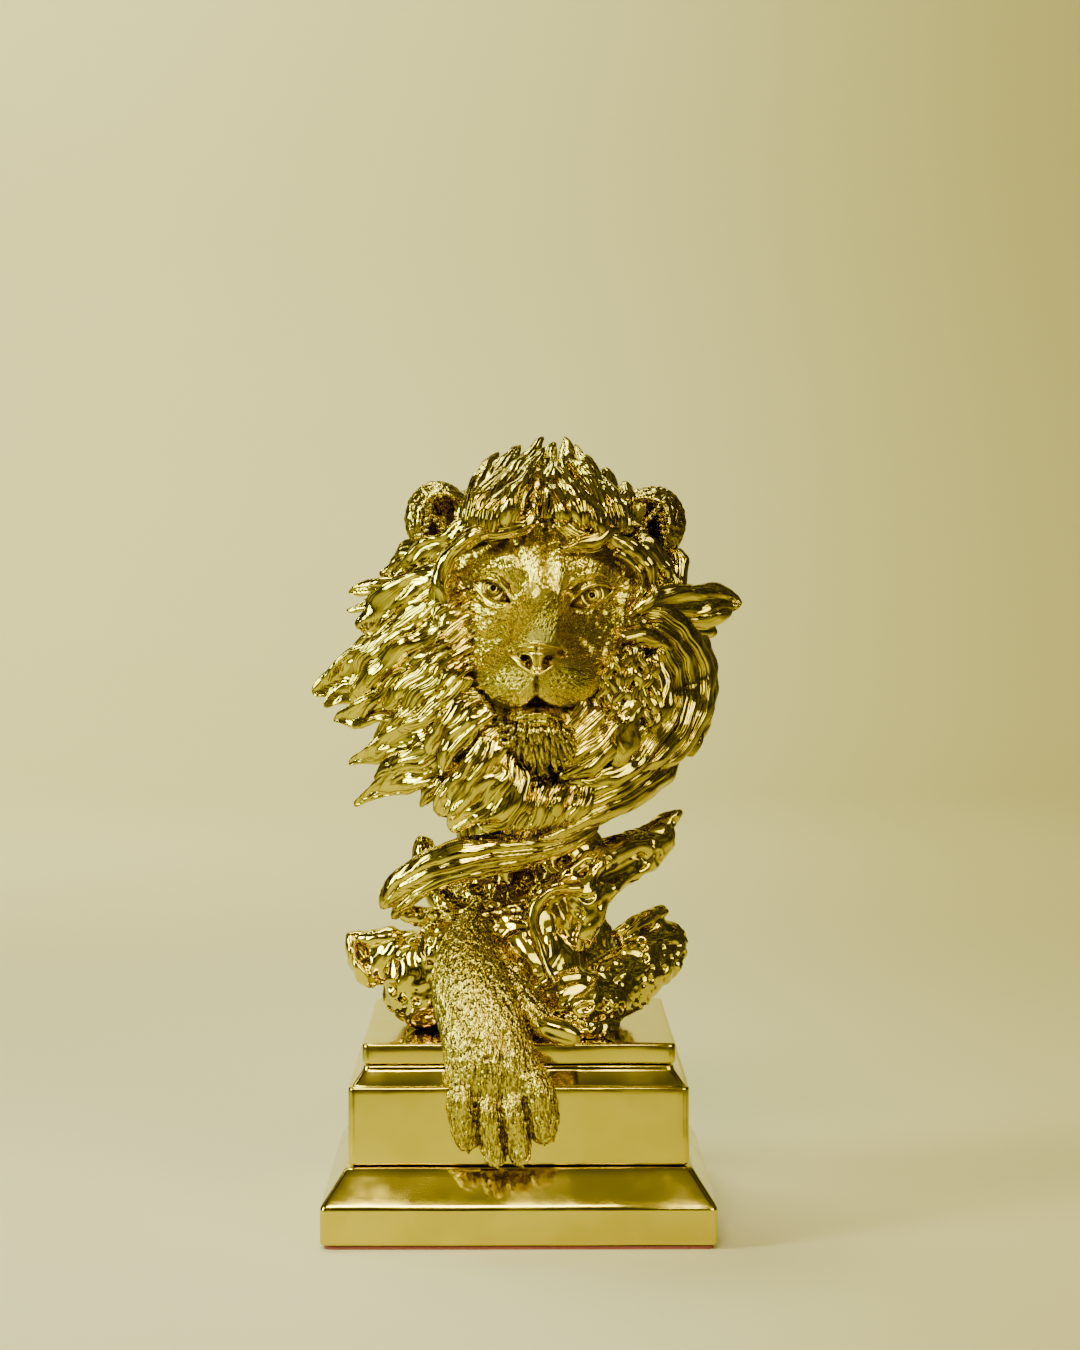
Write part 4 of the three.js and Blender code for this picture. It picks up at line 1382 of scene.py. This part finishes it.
def ear(name, centre, wide, tall, lean, hole, seed):
    """Half sizes wide and tall, turned by lean; hole moves the hollow towards the face."""
    made = ringed_ball(name, 120, 84)[0]
    ball = get_points(made)
    x, y, z = ball[:, 0] * wide, ball[:, 1] * 9.5, ball[:, 2] * tall
    x = x * (1 - 0.16 * np.clip(-ball[:, 2], 0, 1) ** 2)
    reach = np.hypot((x - hole[0]) / (wide - 6.0), (z - hole[1]) / (tall - 6.0))
    hollow = (1 - soft(reach, 0.35, 1.12)) * (ball[:, 1] < 0.05)
    y = y + 12.5 * hollow
    y = y - 1.6 * np.exp(-(((reach - 1.22) / 0.2) ** 2)) * (ball[:, 1] < 0)
    c, s = math.cos(lean), math.sin(lean)
    points = np.stack([x * c + z * s, y, z * c - x * s], axis=1)
    set_points(made, points * MM)
    normals = normals_of(made)
    swirl = np.arctan2(z, x)
    rim = grain_of(np.stack([swirl * 14, y, reach * 16], axis=1), (1.1, 2, 4.5), seed)
    rim = 0.6 * rim + 0.4 * grain_of(points, (1.2, 1.2, 1.8), seed + 2)
    points = points + normals * (1.25 * (rim - 0.5))[:, None]
    points = points + np.array(centre)
    set_points(made, points * MM)
    return made


def ear_hairs(roots, seed):
    chance = np.random.default_rng(seed)
    hairs = []
    for k, (x, y, z, dx, dz, length) in enumerate(roots):
        way = np.array([dx, dz]) / math.hypot(dx, dz)
        bend = chance.uniform(-0.25, 0.25)
        mid = length * 0.5
        hairs.append(
            lock(
                [
                    (x, y + 2, z, 1.0, 1.0),
                    (x + way[0] * mid, y - 1.5, z + way[1] * mid, 1.3, 1.2),
                    (
                        x + (way[0] - way[1] * bend) * length,
                        y + 1.5,
                        z + (way[1] + way[0] * bend) * length,
                        0.35,
                        0.4,
                    ),
                ],
                strands=2,
                groove=0.16,
                seed=seed + k,
            )
        )
    return hairs


left_hairs = [
    (-29 - 1.4 * k, -19, 309 + 2.6 * k, -0.55 - 0.05 * k, 1.0 - 0.12 * k, 9 - 0.3 * k)
    for k in range(8)
]
left_hairs += [(-45 + 0.5 * k, -19, 312 + 2.8 * k, 0.75, 0.75, 6.0) for k in range(6)]
right_hairs = [
    (47 + 2.4 * k, -15, 309 + 2.6 * k, 0.9 - 0.02 * k, 0.65 + 0.03 * k, 11 - 0.5 * k)
    for k in range(8)
]
right_hairs += [(70 - 0.6 * k, -14, 309 + 2.8 * k, -0.8, 0.55, 6.0) for k in range(6)]
for name, centre, wide, tall, lean, hole, hairs, node_name in [
    ("ear_left_cast", (-37, -9, 321.5), 15.6, 18.5, -0.10, (2.6, -2), left_hairs, "ear_left"),
    ("ear_right_cast", (60.5, -6, 319), 16.4, 19.0, 0.42, (-3.4, -3), right_hairs, "ear_right"),
]:
    shell = ear(name, centre, wide, tall, lean, hole, len(name))
    made = merge([shell, *ear_hairs(hairs, len(name))], name)
    smooth(made)
    wear_slot(made, ear_fur, node_name)

# ---------------------------------------------------------------------------- crown of the mane
# A flame-like tuft that rises over a deep hollow above the forehead, and rounder locks behind it.
CROWN = [
    # root x, y, z; tip x, y, z; how far it bows left; half width
    ((-20, -30, 316), (-16, -14, 341), 3.0, 5.0),
    ((-17, -40, 318), (-9.5, -12, 353), 4.0, 5.8),
    ((-10, -34, 322), (1.0, -10, 357.5), 4.0, 5.8),
    ((0, -30, 326), (11.5, -10, 360.2), 3.0, 5.6),
    ((10, -26, 328), (16.5, -11, 357.5), 0.5, 5.0),
    ((22, -30, 326), (21.0, -10, 360.8), -2.0, 5.4),
    ((32, -34, 322), (25.5, -12, 356.5), -4.0, 5.6),
    ((41, -36, 318), (33, -12, 345), -3.5, 5.2),
    ((47, -32, 315), (40, -12, 338), -3.0, 4.6),
    ((-19, -46, 315), (-4.5, -32, 346), 5.0, 5.2),
    ((-12, -49, 317), (4.0, -30, 351.5), 4.5, 5.4),
    ((-4, -50, 320), (12.0, -30, 354.5), 3.0, 5.0),
    ((14, -46, 322), (17.5, -30, 352), 1.0, 4.6),
    ((36, -48, 316), (23.0, -30, 351), -4.0, 5.4),
    ((43, -44, 315), (29.0, -30, 344), -4.5, 5.0),
    ((-13, -53, 317), (0.0, -47, 338), 4.0, 4.2),
    ((-6, -55, 319.5), (6.5, -44, 345), 3.4, 4.6),
    ((27, -54, 318), (16.0, -46, 346), -3.6, 4.8),
    ((20, -55, 320.5), (13.0, -49, 338.5), -2.0, 3.6),
    ((35, -52, 315.5), (23.5, -44, 338), -4.0, 4.2),
]
spikes = []
for k, (root, tip, bow, wide) in enumerate(CROWN):
    root, tip = np.array(root, float), np.array(tip, float)
    stations = []
    for share, aside, lift, girth in [
        (0, 0, 0, 0.9),
        (0.28, 0.75, 5.5, 1.1),
        (0.55, 1.0, 6.0, 1.0),
        (0.80, 0.55, 3.2, 0.62),
        (1, 0, 0, 0.14),
    ]:
        place = root + (tip - root) * share + (-bow * aside, -lift, 0)
        stations.append((*place, wide * girth, wide * girth * 0.9))
    spikes.append(tress(*stations, seed=500 + k, curl=0.25 * (-1) ** k))
cast_locks(
    [
        *spikes,
        tress(
            (-20, -44, 316, 3.4, 4), (-9, -51, 317, 4.2, 4), (3, -54, 320, 3.6, 4),
            (8, -53, 328, 1.4, 2), seed=9, strands=3,
        ),
        tress(
            (46, -44, 315, 3.4, 4), (33, -51, 314, 4, 4), (22, -54, 318, 3.6, 4),
            (17, -53, 326, 1.4, 2), seed=10, strands=3,
        ),
        tress(
            (8, -26, 322, 16, 12), (8, -24, 336, 12, 11), (12, -18, 348, 5, 5), seed=13, strands=7,
        ),
    ],
    "crown_tuft_cast",
    glossy,
    "crown_tuft",
    strands=4,
    groove=0.24,
    tail=0.1,
    sway=0.7,
    dents=0.5,
)
cast_locks(
    [
        tress((36, -24, 320, 7, 7), (40, -16, 336, 6, 6), (41, -10, 346.5, 2.2, 2.4), seed=21),
        tress((44, -22, 318, 7, 6), (48, -14, 331, 6, 6), (49, -8, 340, 2.6, 2.6), seed=22),
        tress((50, -14, 316, 8, 7), (54, -6, 328, 7, 6), (55, 0, 335, 3.4, 3), seed=23),
        tress(
            (22, 0, 322, 14, 12), (30, 10, 334, 12, 10), (34, 16, 342, 4, 4), seed=24, strands=5,
        ),
        tress(
            (-8, 2, 320, 14, 12), (-6, 12, 334, 12, 10), (-2, 20, 341, 4, 4), seed=25, strands=5,
        ),
        tress((-22, -14, 312, 9, 8), (-24, -6, 326, 8, 7), (-22, 2, 336, 3, 3), seed=26),
    ],
    "crown_back_cast",
    glossy,
    "crown_back",
    strands=4,
    groove=0.16,
    tail=0.3,
)

# ---------------------------------------------------------------------------- mane, left side
# Long grooved locks blown back from the face, each ending in a smooth hollow leaf with a sharp
# rim. Every group is one casting.
cast_locks(
    [
        tress(
            (-9, -51, 319, 3.6, 4), (-21, -51, 315, 4.2, 4.4), (-30, -47, 306, 4, 4.4),
            (-35, -44, 293, 3.6, 4), (-32, -46, 279, 1.8, 2.4), seed=31, strands=3,
        ),
        tress(
            (-16, -45, 320, 5, 5), (-31, -36, 312, 6.4, 5), (-46, -27, 303, 6.6, 5),
            (-57, -18, 294, 3, 3), seed=32, strands=3, cup=0.4,
        ),
        tress(
            (-30, -45, 300, 3, 3.6), (-36, -42, 288, 4, 4), (-34, -44, 272, 3.6, 4),
            (-28, -48, 262, 1.6, 2), seed=33, strands=3,
        ),
    ],
    "mane_brow_left_cast",
    glossy,
    "mane_brow_left",
)
cast_locks(
    [
        tress(
            (-30, -36, 303, 5, 5), (-42, -29, 299, 6.6, 5), (-51, -23, 294, 6.4, 4.4),
            (-57, -18, 289.5, 4, 3), seed=41, strands=2, cup=0.9, tail=0.8,
        ),
        tress(
            (-38, -16, 308, 6, 5), (-50, -8, 307, 5, 4), (-60, -3, 303, 1.4, 1.4), seed=42,
            strands=3,
        ),
        tress(
            (-36, -18, 300, 8, 6), (-52, -8, 299, 7, 5), (-64, -2, 295, 2, 2), seed=43, strands=3,
        ),
        tress(
            (-36, -24, 287, 7, 6), (-54, -13, 289, 6, 5), (-68, -5, 290.5, 4, 3),
            (-80, 0, 289, 1.1, 1.1), seed=44, strands=3, cup=0.6,
        ),
        tress(
            (-54, -12, 284, 6, 5), (-68, -4, 282.5, 4.4, 3.4), (-80, 0, 280, 1.1, 1.1), seed=45,
            strands=2, cup=0.5,
        ),
        tress(
            (-28, -42, 293, 6, 5), (-42, -34, 293, 8.5, 6), (-56, -26, 285, 8.6, 6),
            (-67, -19, 276, 7.4, 5), (-72.5, -14, 269.5, 4, 3), seed=46, strands=4, cup=0.6,
            tail=0.5,
        ),
        tress(
            (-34, -38, 300, 3, 3), (-46, -30, 296, 3.4, 3.2), (-58, -22, 287, 2.4, 2.6),
            (-66, -17, 280, 1, 1), seed=47, strands=2,
        ),
    ],
    "mane_left_upper_cast",
    glossy,
    "mane_left_upper",
)
sideburns = []
face_edge = [-43, -45, -47, -49.3, -51.3, -53, -55.4, -58.4, -59.6, -58]
for k, y in enumerate(face_edge):
    z = 291 - 5 * k
    cover = -48 - 0.17 * (291 - z)
    sideburns.append(
        tress(
            (-18.5, y + 1.6, z, 1.2, 1.8), (-24.5, y + 2.4, z - 3.5, 2.4, 2.4),
            (-31, (y + cover) / 2 + 1, z - 8, 2.6, 2.4), (-39, cover + 0.6, z - 15, 0.8, 0.9),
            seed=600 + k, strands=3, groove=0.22,
        )
    )
cast_locks(
    [
        tress(
            (-46, -24, 277, 8, 6), (-62, -13, 267, 8, 5), (-75, -5, 256, 6, 4),
            (-81, 0, 249, 2.4, 2.4), seed=51, cup=0.5,
        ),
        tress(
            (-29, -44, 285, 5, 5), (-43, -37, 279, 6.6, 6), (-58, -29, 269, 6.4, 6),
            (-70, -21, 256, 5.6, 5), (-77, -14, 243, 2.6, 2.6), seed=52, cup=0.2,
        ),
        tress(
            (-28, -46, 276, 4, 4.4), (-42, -41, 270, 5, 5), (-56, -34, 261, 5.4, 5),
            (-68, -26, 249, 4.4, 4.4), (-75, -18, 238, 2, 2), seed=53,
        ),
        tress(
            (-30, -44, 268, 5, 5), (-44, -40, 262, 8, 6), (-57, -33, 252, 9.6, 6),
            (-69, -25, 242, 8, 5), (-76, -18, 235, 3, 3), seed=54, strands=3, cup=0.9, tail=0.7,
        ),
        tress(
            (-60, -12, 263, 9, 6), (-77, -6, 252, 8.6, 5), (-89, -1, 245, 5.4, 3.5),
            (-97, 1, 241, 1.2, 1.2), seed=55, strands=3, cup=0.8, tail=0.7,
        ),
        tress(
            (-70, -12, 246, 6, 4), (-83, -5, 240.5, 5, 3), (-91.5, -2, 235.5, 1.2, 1.2), seed=56,
            strands=2, cup=0.6,
        ),
        tress(
            (-38, -42, 246, 6, 6), (-54, -34, 239, 7.4, 6), (-68, -25, 235, 7.4, 5),
            (-78, -17, 231.5, 5, 3.5), (-85, -12, 228.5, 1.3, 1.3), seed=57, strands=3, cup=1.0,
            tail=0.75,
        ),
        tress(
            (-27, -48, 262, 4, 5), (-38, -46, 256, 5.4, 5), (-51, -39, 246, 5.4, 5),
            (-62, -31, 235, 2, 2.4), seed=58,
        ),
        tress(
            (-26, -49, 256, 3.4, 4), (-36, -48, 249, 5, 5), (-48, -42, 239, 5, 5),
            (-58, -34, 229, 2, 2.4), seed=59,
        ),
        tress(
            (-24, -50, 249, 4, 4), (-33, -50, 242, 5.4, 5), (-44, -45, 233, 5, 5),
            (-55, -37, 226, 2, 2.4), seed=60,
        ),
        tress(
            (-48, -40, 256, 2.4, 3), (-58, -35, 247, 3, 3), (-66, -29, 238, 2.4, 3),
            (-71, -24, 231, 1, 1), seed=61, strands=2,
        ),
        *sideburns,
    ],
    "mane_left_middle_cast",
    glossy,
    "mane_left_middle",
)
small_curls = []
for k in range(9):
    x, z = -43 + 2.3 * k, 233 - 5.5 * math.sin(k * 2.3) - 0.6 * k
    small_curls.append(
        tress(
            (x, -36, z + 4, 2.2, 2.6), (x + 2.6, -42, z + 1, 2.4, 2.4),
            (x + 1.6, -44, z - 3.4, 2.2, 2.2), (x - 2.0, -41, z - 4.4, 1.2, 1.4), seed=70 + k,
            strands=2,
        )
    )
cast_locks(
    [
        *small_curls,
        tress(
            (-44, -26, 236, 6, 5), (-57, -20, 230, 4.4, 4), (-68, -13, 221, 1.2, 1.2), seed=81,
            strands=3, cup=0.4,
        ),
        tress(
            (-36, -36, 227, 7, 6), (-52, -27, 223, 7.6, 5), (-66, -17, 215, 5.4, 4),
            (-78, -8, 208, 1.3, 1.3), seed=82, strands=3, cup=0.8, tail=0.7,
        ),
        tress(
            (-34, -38, 219, 6, 6), (-48, -32, 214, 6, 5), (-60, -24, 208, 3, 3),
            (-67, -19, 203, 1, 1), seed=83, strands=3,
        ),
        tress(
            (-32, -38, 212, 7, 6), (-48, -29, 206, 7.6, 5), (-63, -20, 199, 5.4, 4),
            (-77, -10, 190.5, 1.3, 1.3), seed=84, strands=3, cup=0.7, tail=0.6,
        ),
        tress(
            (-32, -40, 204, 6, 5), (-41, -36, 197, 4.4, 4), (-46, -32, 190.5, 1.1, 1.1), seed=85,
            strands=3,
        ),
        tress(
            (-26, -28, 226, 14, 12), (-34, -24, 208, 13, 11), (-36, -20, 196, 5, 5), seed=86,
            strands=5,
        ),
    ],
    "mane_left_lower_cast",
    glossy,
    "mane_left_lower",
)
cast_locks(
    [
        tress(
            (-11, -62, 239, 4, 4), (-20, -61, 231, 6, 5), (-30, -56, 220, 6, 5),
            (-36, -50, 209, 2.4, 3), seed=91, strands=4, groove=0.2,
        ),
        tress(
            (-16, -58, 244, 4, 4), (-27, -56, 236, 6, 5), (-36, -50, 225, 5, 5),
            (-41, -44, 215, 2, 2), seed=92, strands=4, groove=0.2,
        ),
        tress(
            (-6, -62, 230, 5, 4), (-13, -63, 219, 7, 6), (-22, -60, 206, 7.4, 6),
            (-30, -53, 195, 4, 4), seed=93, strands=4, cup=0.3,
        ),
        tress(
            (-4, -60, 222, 5, 4), (-10, -63, 208, 7.6, 6), (-18, -62, 196, 8.6, 6),
            (-27, -57, 187.5, 6, 4), (-31.5, -54, 184, 2.4, 2.4), seed=94, strands=4, cup=0.7,
            tail=0.6,
        ),
        tress(
            (-20, -52, 208, 7, 6), (-30, -50, 198, 7, 5), (-36.5, -47, 190, 3, 3), seed=95,
            strands=3, cup=0.6, tail=0.6,
        ),
        tress(
            (2, -58, 214, 5, 5), (-2, -62, 202, 7, 6), (-9, -61, 190, 7, 5),
            (-17, -57, 181, 2.4, 2.4), seed=96, strands=4, cup=0.4,
        ),
        tress(
            (-9, -64, 226, 2.4, 3), (-15, -66, 214, 3, 3), (-24, -62, 201, 2.6, 3),
            (-31, -55, 192, 1, 1), seed=97, strands=2,
        ),
    ],
    "mane_chest_left_cast",
    glossy,
    "mane_chest_left",
)
throat = []
for k in range(13):
    x = -8 + 2.7 * k
    top, low = 208 - 0.3 * k, 178 + 0.5 * abs(k - 5)
    throat.append(
        tress(
            (x + 8, -50 - 3 * (k % 2), top, 2.8, 3), (x + 5, -56 - 2 * (k % 3), top - 10, 3.6, 3),
            (x, -55 - 3 * (k % 2), low + 8, 3.0, 3), (x - 4, -51, low, 1.0, 1.2), seed=100 + k,
            strands=3, groove=0.22, tail=0.1,
        )
    )
throat.append(tress(
    (6, -40, 216, 24, 12), (2, -42, 198, 24, 11), (0, -38, 184, 14, 8), seed=120, strands=9,
))
cast_locks(throat, "mane_throat_cast", glossy, "mane_throat")

# ---------------------------------------------------------------------------- mane, right side
# A curl over the brow, a ribbon round a hollow, a horn-like lock, and a large smooth swirl with
# ring after ring of grooves that turns under the cheek; a patch of curly wool lies inside it.
cast_locks(
    [
        tress(
            (45, -46, 319, 3.6, 4), (35, -53, 312.5, 3.8, 3.6), (26, -57, 311.5, 3.4, 3.2),
            (17, -58, 308, 1.2, 1.6), seed=131, strands=2,
        ),
        tress(
            (38, -50, 314, 4, 4), (50, -46, 309.5, 4.4, 4), (58.5, -40, 301, 4, 4),
            (61.5, -38, 291, 3.6, 4), (57, -41, 284, 3.4, 3.6), (48, -46, 279.5, 1.8, 2.4),
            seed=132, strands=3,
        ),
        tress(
            (42, -50, 309, 2.6, 3), (51, -46, 303, 2.6, 3), (55, -43, 293, 2.2, 2.6),
            (53, -44, 285, 1.2, 1.4), seed=133, strands=2,
        ),
        tress(
            (52, -30, 312, 7, 6), (62, -22, 304, 7, 6), (67, -18, 292, 6, 6), (65, -22, 281, 3, 3),
            seed=134,
        ),
        tress(
            (70, -8, 308, 4, 4), (74, -8, 300, 4.6, 4), (73, -10, 289, 4, 4), (70, -14, 281, 2, 2),
            seed=135, strands=3,
        ),
    ],
    "mane_brow_right_cast",
    glossy,
    "mane_brow_right",
)
cast_locks(
    [
        tress(
            (46, -38, 277, 6, 7), (61, -29, 281.5, 8.6, 8), (77, -17, 284.5, 8.6, 8),
            (90, -9, 285, 8, 7), (98, -5, 282.5, 6.5, 5.5), (100.5, -4, 280.5, 4.6, 4.6), seed=141,
            strands=4, cup=0.5, tail=0.1,
        ),
        tress(
            (66, -24, 276, 5, 5), (80, -14, 277, 5.4, 5), (92, -8, 278, 4.4, 4.4),
            (98, -5, 277.5, 2.6, 2.6), seed=142, strands=3,
        ),
        tress(
            (62, -24, 286, 5, 5), (76, -12, 289, 4.6, 4), (86, -6, 289.5, 2, 2), seed=143,
            strands=3,
        ),
        tress(
            (72, -14, 272, 6, 6), (84, -6, 272, 5, 5), (92, -2, 271, 2.4, 2.6), seed=144,
            strands=3,
        ),
    ],
    "mane_right_horn_cast",
    glossy,
    "mane_right_horn",
    groove=0.2,
)
wool = []
for row in range(4):
    for k in range(7):
        x = 36 + 4.0 * k + 1.6 * (row % 2)
        z = 261 - 6.8 * row - 0.045 * (x - 50) ** 2 - 0.10 * (x - 36)
        y = -55 + 0.010 * (x - 38) ** 2 + 0.8 * row
        sway = 1.8 * math.sin(2.4 * k + 1.7 * row)
        wool.append(
            tress(
                (x, y + 1, z + 4.6, 1.8, 2.2), (x + sway, y - 1.6, z + 1.0, 2.3, 2.2),
                (x - sway, y - 1.0, z - 3.4, 2.1, 2.0),
                (x + 0.4 * sway, y + 1.4, z - 6.6, 1.0, 1.2), seed=150 + row * 9 + k, strands=2,
                groove=0.2,
            )
        )
cast_locks(
    [
        *wool,
        tress(
            (44, -46, 268, 6, 6), (53, -44, 270, 6, 5), (62, -40, 267, 5.4, 5),
            (68, -36, 260, 3, 3), seed=201, strands=2, groove=0.06,
        ),
        tress(
            (50, -34, 258, 16, 12), (54, -36, 244, 17, 12), (50, -38, 228, 14, 11),
            (38, -42, 214, 10, 8), seed=202, strands=8,
        ),
        tress(
            (52, -50, 243, 5, 4), (48, -53, 232, 7.4, 5), (46, -53, 221, 7.6, 5),
            (45, -50, 211, 4, 4), seed=203, strands=2, groove=0.07,
        ),
        tress(
            (39, -56, 238, 3.6, 4), (31, -60, 230, 4.8, 4), (22, -62, 221, 4, 4),
            (17, -61, 216, 1.6, 2), seed=204,
        ),
        tress(
            (44, -55, 231, 3.6, 4), (36, -58, 223, 4.8, 4), (26, -60, 216, 4.4, 4),
            (16, -60, 211, 1.8, 2), seed=205,
        ),
        tress(
            (43, -54, 222, 3.6, 4), (36, -57, 216, 4.4, 4), (26, -59, 210, 4.4, 4),
            (16, -58, 206, 1.8, 2), seed=206,
        ),
        tress(
            (61, -38, 223, 3.4, 4), (51, -46, 212.5, 4.4, 4), (38, -52, 206.5, 4.4, 4),
            (22, -57, 203.5, 2, 2.4), seed=207, strands=2,
        ),
        tress(
            (24, -62, 236, 3, 3), (20, -64, 228, 3.6, 3), (17, -63, 219, 1.4, 1.6), seed=208,
            strands=2,
        ),
        tress(
            (30, -60, 241, 3.4, 4), (25, -63, 233, 4, 4), (20, -63, 224, 2, 2), seed=209,
            strands=3,
        ),
    ],
    "mane_right_cheek_cast",
    glossy,
    "mane_right_cheek",
)
cast_locks(
    [
        tress(
            (70, -10, 277, 7, 8), (83, -3, 264, 6, 9), (88, 0, 248, 5, 9), (85, -2, 231, 5, 8),
            (81, -6, 219, 3, 4), seed=211,
        ),
        tress(
            (54, -36, 280, 5, 5), (68, -29, 276, 6, 6), (79, -20, 265, 6, 6),
            (85, -14, 250, 5.4, 6), (83, -15, 234, 5.4, 6), (75, -22, 219, 5, 5),
            (64, -30, 208, 2.4, 3), seed=212, groove=0.2, tail=0.1,
        ),
        tress(
            (56, -40, 274, 4.4, 5), (66, -36, 270, 5, 5), (74, -28, 260, 5.4, 5),
            (78, -23, 246, 5, 5), (75, -26, 231, 5, 5), (66, -34, 217, 4.6, 5),
            (54, -42, 207, 2.4, 3), seed=213, groove=0.2, tail=0.1,
        ),
        tress(
            (61, -41, 264, 4, 4), (68, -36, 257, 4.4, 4), (71, -32, 245, 4.6, 4),
            (67, -35, 231, 4.6, 4), (58, -42, 219, 4, 4), (49, -47, 210, 2, 2), seed=214,
            groove=0.2, tail=0.1,
        ),
        tress(
            (64, -40, 252, 3, 3), (64, -39, 243, 3.4, 3), (60, -42, 231, 3.4, 3),
            (54, -46, 222, 2, 2), seed=215, groove=0.2,
        ),
        tress(
            (80, -12, 229, 5, 5), (80.5, -14, 221, 4.6, 5), (77.5, -17, 213, 2.6, 3), seed=216,
            strands=3, groove=0.22,
        ),
        tress(
            (80, -8, 270, 4, 5), (87, -4, 259, 3.4, 5), (90, -2, 247, 2.6, 4),
            (88, -3, 238, 1.4, 2), seed=217, strands=3,
        ),
        tress(
            (82, -4, 243, 4, 5), (88, -3, 236, 3.6, 4), (86, -5, 226, 2, 3), seed=218, strands=2,
        ),
    ],
    "mane_right_outer_cast",
    glossy,
    "mane_right_outer",
    dents=0.3,
    sway=0.7,
)
cast_locks(
    [
        tress(
            (72, -12, 219, 5, 6), (65, -21, 207.5, 7, 7), (53, -31, 199.5, 8, 7),
            (39, -41, 193, 7.6, 7), (26, -47, 187.5, 6, 6), (15, -51, 185.5, 2.4, 3), seed=221,
            strands=4, groove=0.12, tail=0.1,
        ),
        tress(
            (66, -28, 217, 3.4, 4), (57, -37, 208, 4, 4), (44, -46, 200, 4, 4),
            (30, -52, 195, 3.4, 4), (19, -55, 192, 1.6, 2), seed=222, strands=2,
        ),
        tress(
            (60, -34, 214, 3, 4), (49, -43, 206, 4, 4), (36, -50, 200.5, 4, 4),
            (23, -54, 198, 2, 2), seed=223, strands=2,
        ),
        tress(
            (34, -46, 190, 4, 4), (24, -51, 185, 4, 4), (14, -54, 180, 2.6, 3),
            (8, -55, 177.5, 1, 1.2), seed=224, strands=3,
        ),
        tress((56, -24, 203, 6, 8), (42, -32, 196, 7, 9), (28, -40, 190, 5, 7), seed=225),
    ],
    "mane_right_crescent_cast",
    glossy,
    "mane_right_crescent",
    dents=0.3,
    sway=0.7,
)

# ---------------------------------------------------------------------------- back of the mane
# Rows of overlapping locks that fall from the crown to the nape, over a cast core.
BACK_MIDDLE, BACK_RISE = 262, 68


def back_wall(turn, height):
    """A place on the back of the mane and the way it faces, for a turn from straight back."""
    rise = (height - BACK_MIDDLE) / BACK_RISE
    swell = math.sqrt(max(0.05, 1 - rise**2))
    across, deep = 58 * swell + 5, 44 * swell + 4
    place = np.array([4 + across * math.sin(turn), 17 + deep * math.cos(turn), height])
    slope = rise / swell
    facing = np.array([math.sin(turn) / across, math.cos(turn) / deep, slope / 60])
    return place, unit(facing)


def back_locks(first, last, rows, seed):
    chance = np.random.default_rng(seed)
    locks = []
    for row, height in enumerate(rows):
        count = max(2, round((last - first) / math.radians(21)))
        for k in range(count):
            turn = first + (last - first) * (k + 0.5 * (row % 2) + 0.25) / count
            turn += chance.uniform(-0.06, 0.06)
            reach = chance.uniform(34, 44)
            drift = 0.22 * math.sin(turn * 1.6 + row) + chance.uniform(-0.08, 0.08)
            stations = []
            for share, wide, lift in [
                (0, 6.5, -3),
                (0.25, 9.5, 1.0),
                (0.5, 9.5, 2.6),
                (0.75, 7.0, 3.8),
                (1, 1.4, 6.5),
            ]:
                place, facing = back_wall(turn + drift * share, height - reach * share)
                spot = place + facing * lift
                stations.append((*spot, wide, max(1.4, wide * 0.62)))
            _, facing = back_wall(turn, height - reach * 0.5)
            locks.append(
                tress(
                    *stations, facing=tuple(facing), seed=seed + 20 * row + k,
                    cup=chance.uniform(0, 0.6), curl=chance.uniform(-0.3, 0.3),
                )
            )
    return locks


# the heights at which the rows of locks spring
UPPER = (327, 316, 302, 286, 269, 252)
LOWER = (262, 244, 228)
for side, name, first, last in [
    (-1, "mane_back_left", math.radians(-112), 0.0),
    (1, "mane_back_right", 0.0, math.radians(112)),
]:
    core = [
        lump((4 + side * 25, 20, 278), (38, 36, 44)),
        lump((4 + side * 28, 20, 250), (36, 34, 36)),
    ]
    locks = [
        lock(stations, strands=4, **own)
        for stations, own in back_locks(first, last, UPPER, 300 + side)
    ]
    made = merge([*core, *locks], name + "_cast")
    smooth(made)
    wear_slot(made, glossy, name)
core = lump((2, 16, 230), (50, 34, 36))
locks = [
    lock(stations, strands=4, **own)
    for stations, own in back_locks(math.radians(-105), math.radians(105), LOWER, 400)
]
nape = merge([core, *locks], "mane_nape_cast")
smooth(nape)
wear_slot(nape, glossy, "mane_nape")
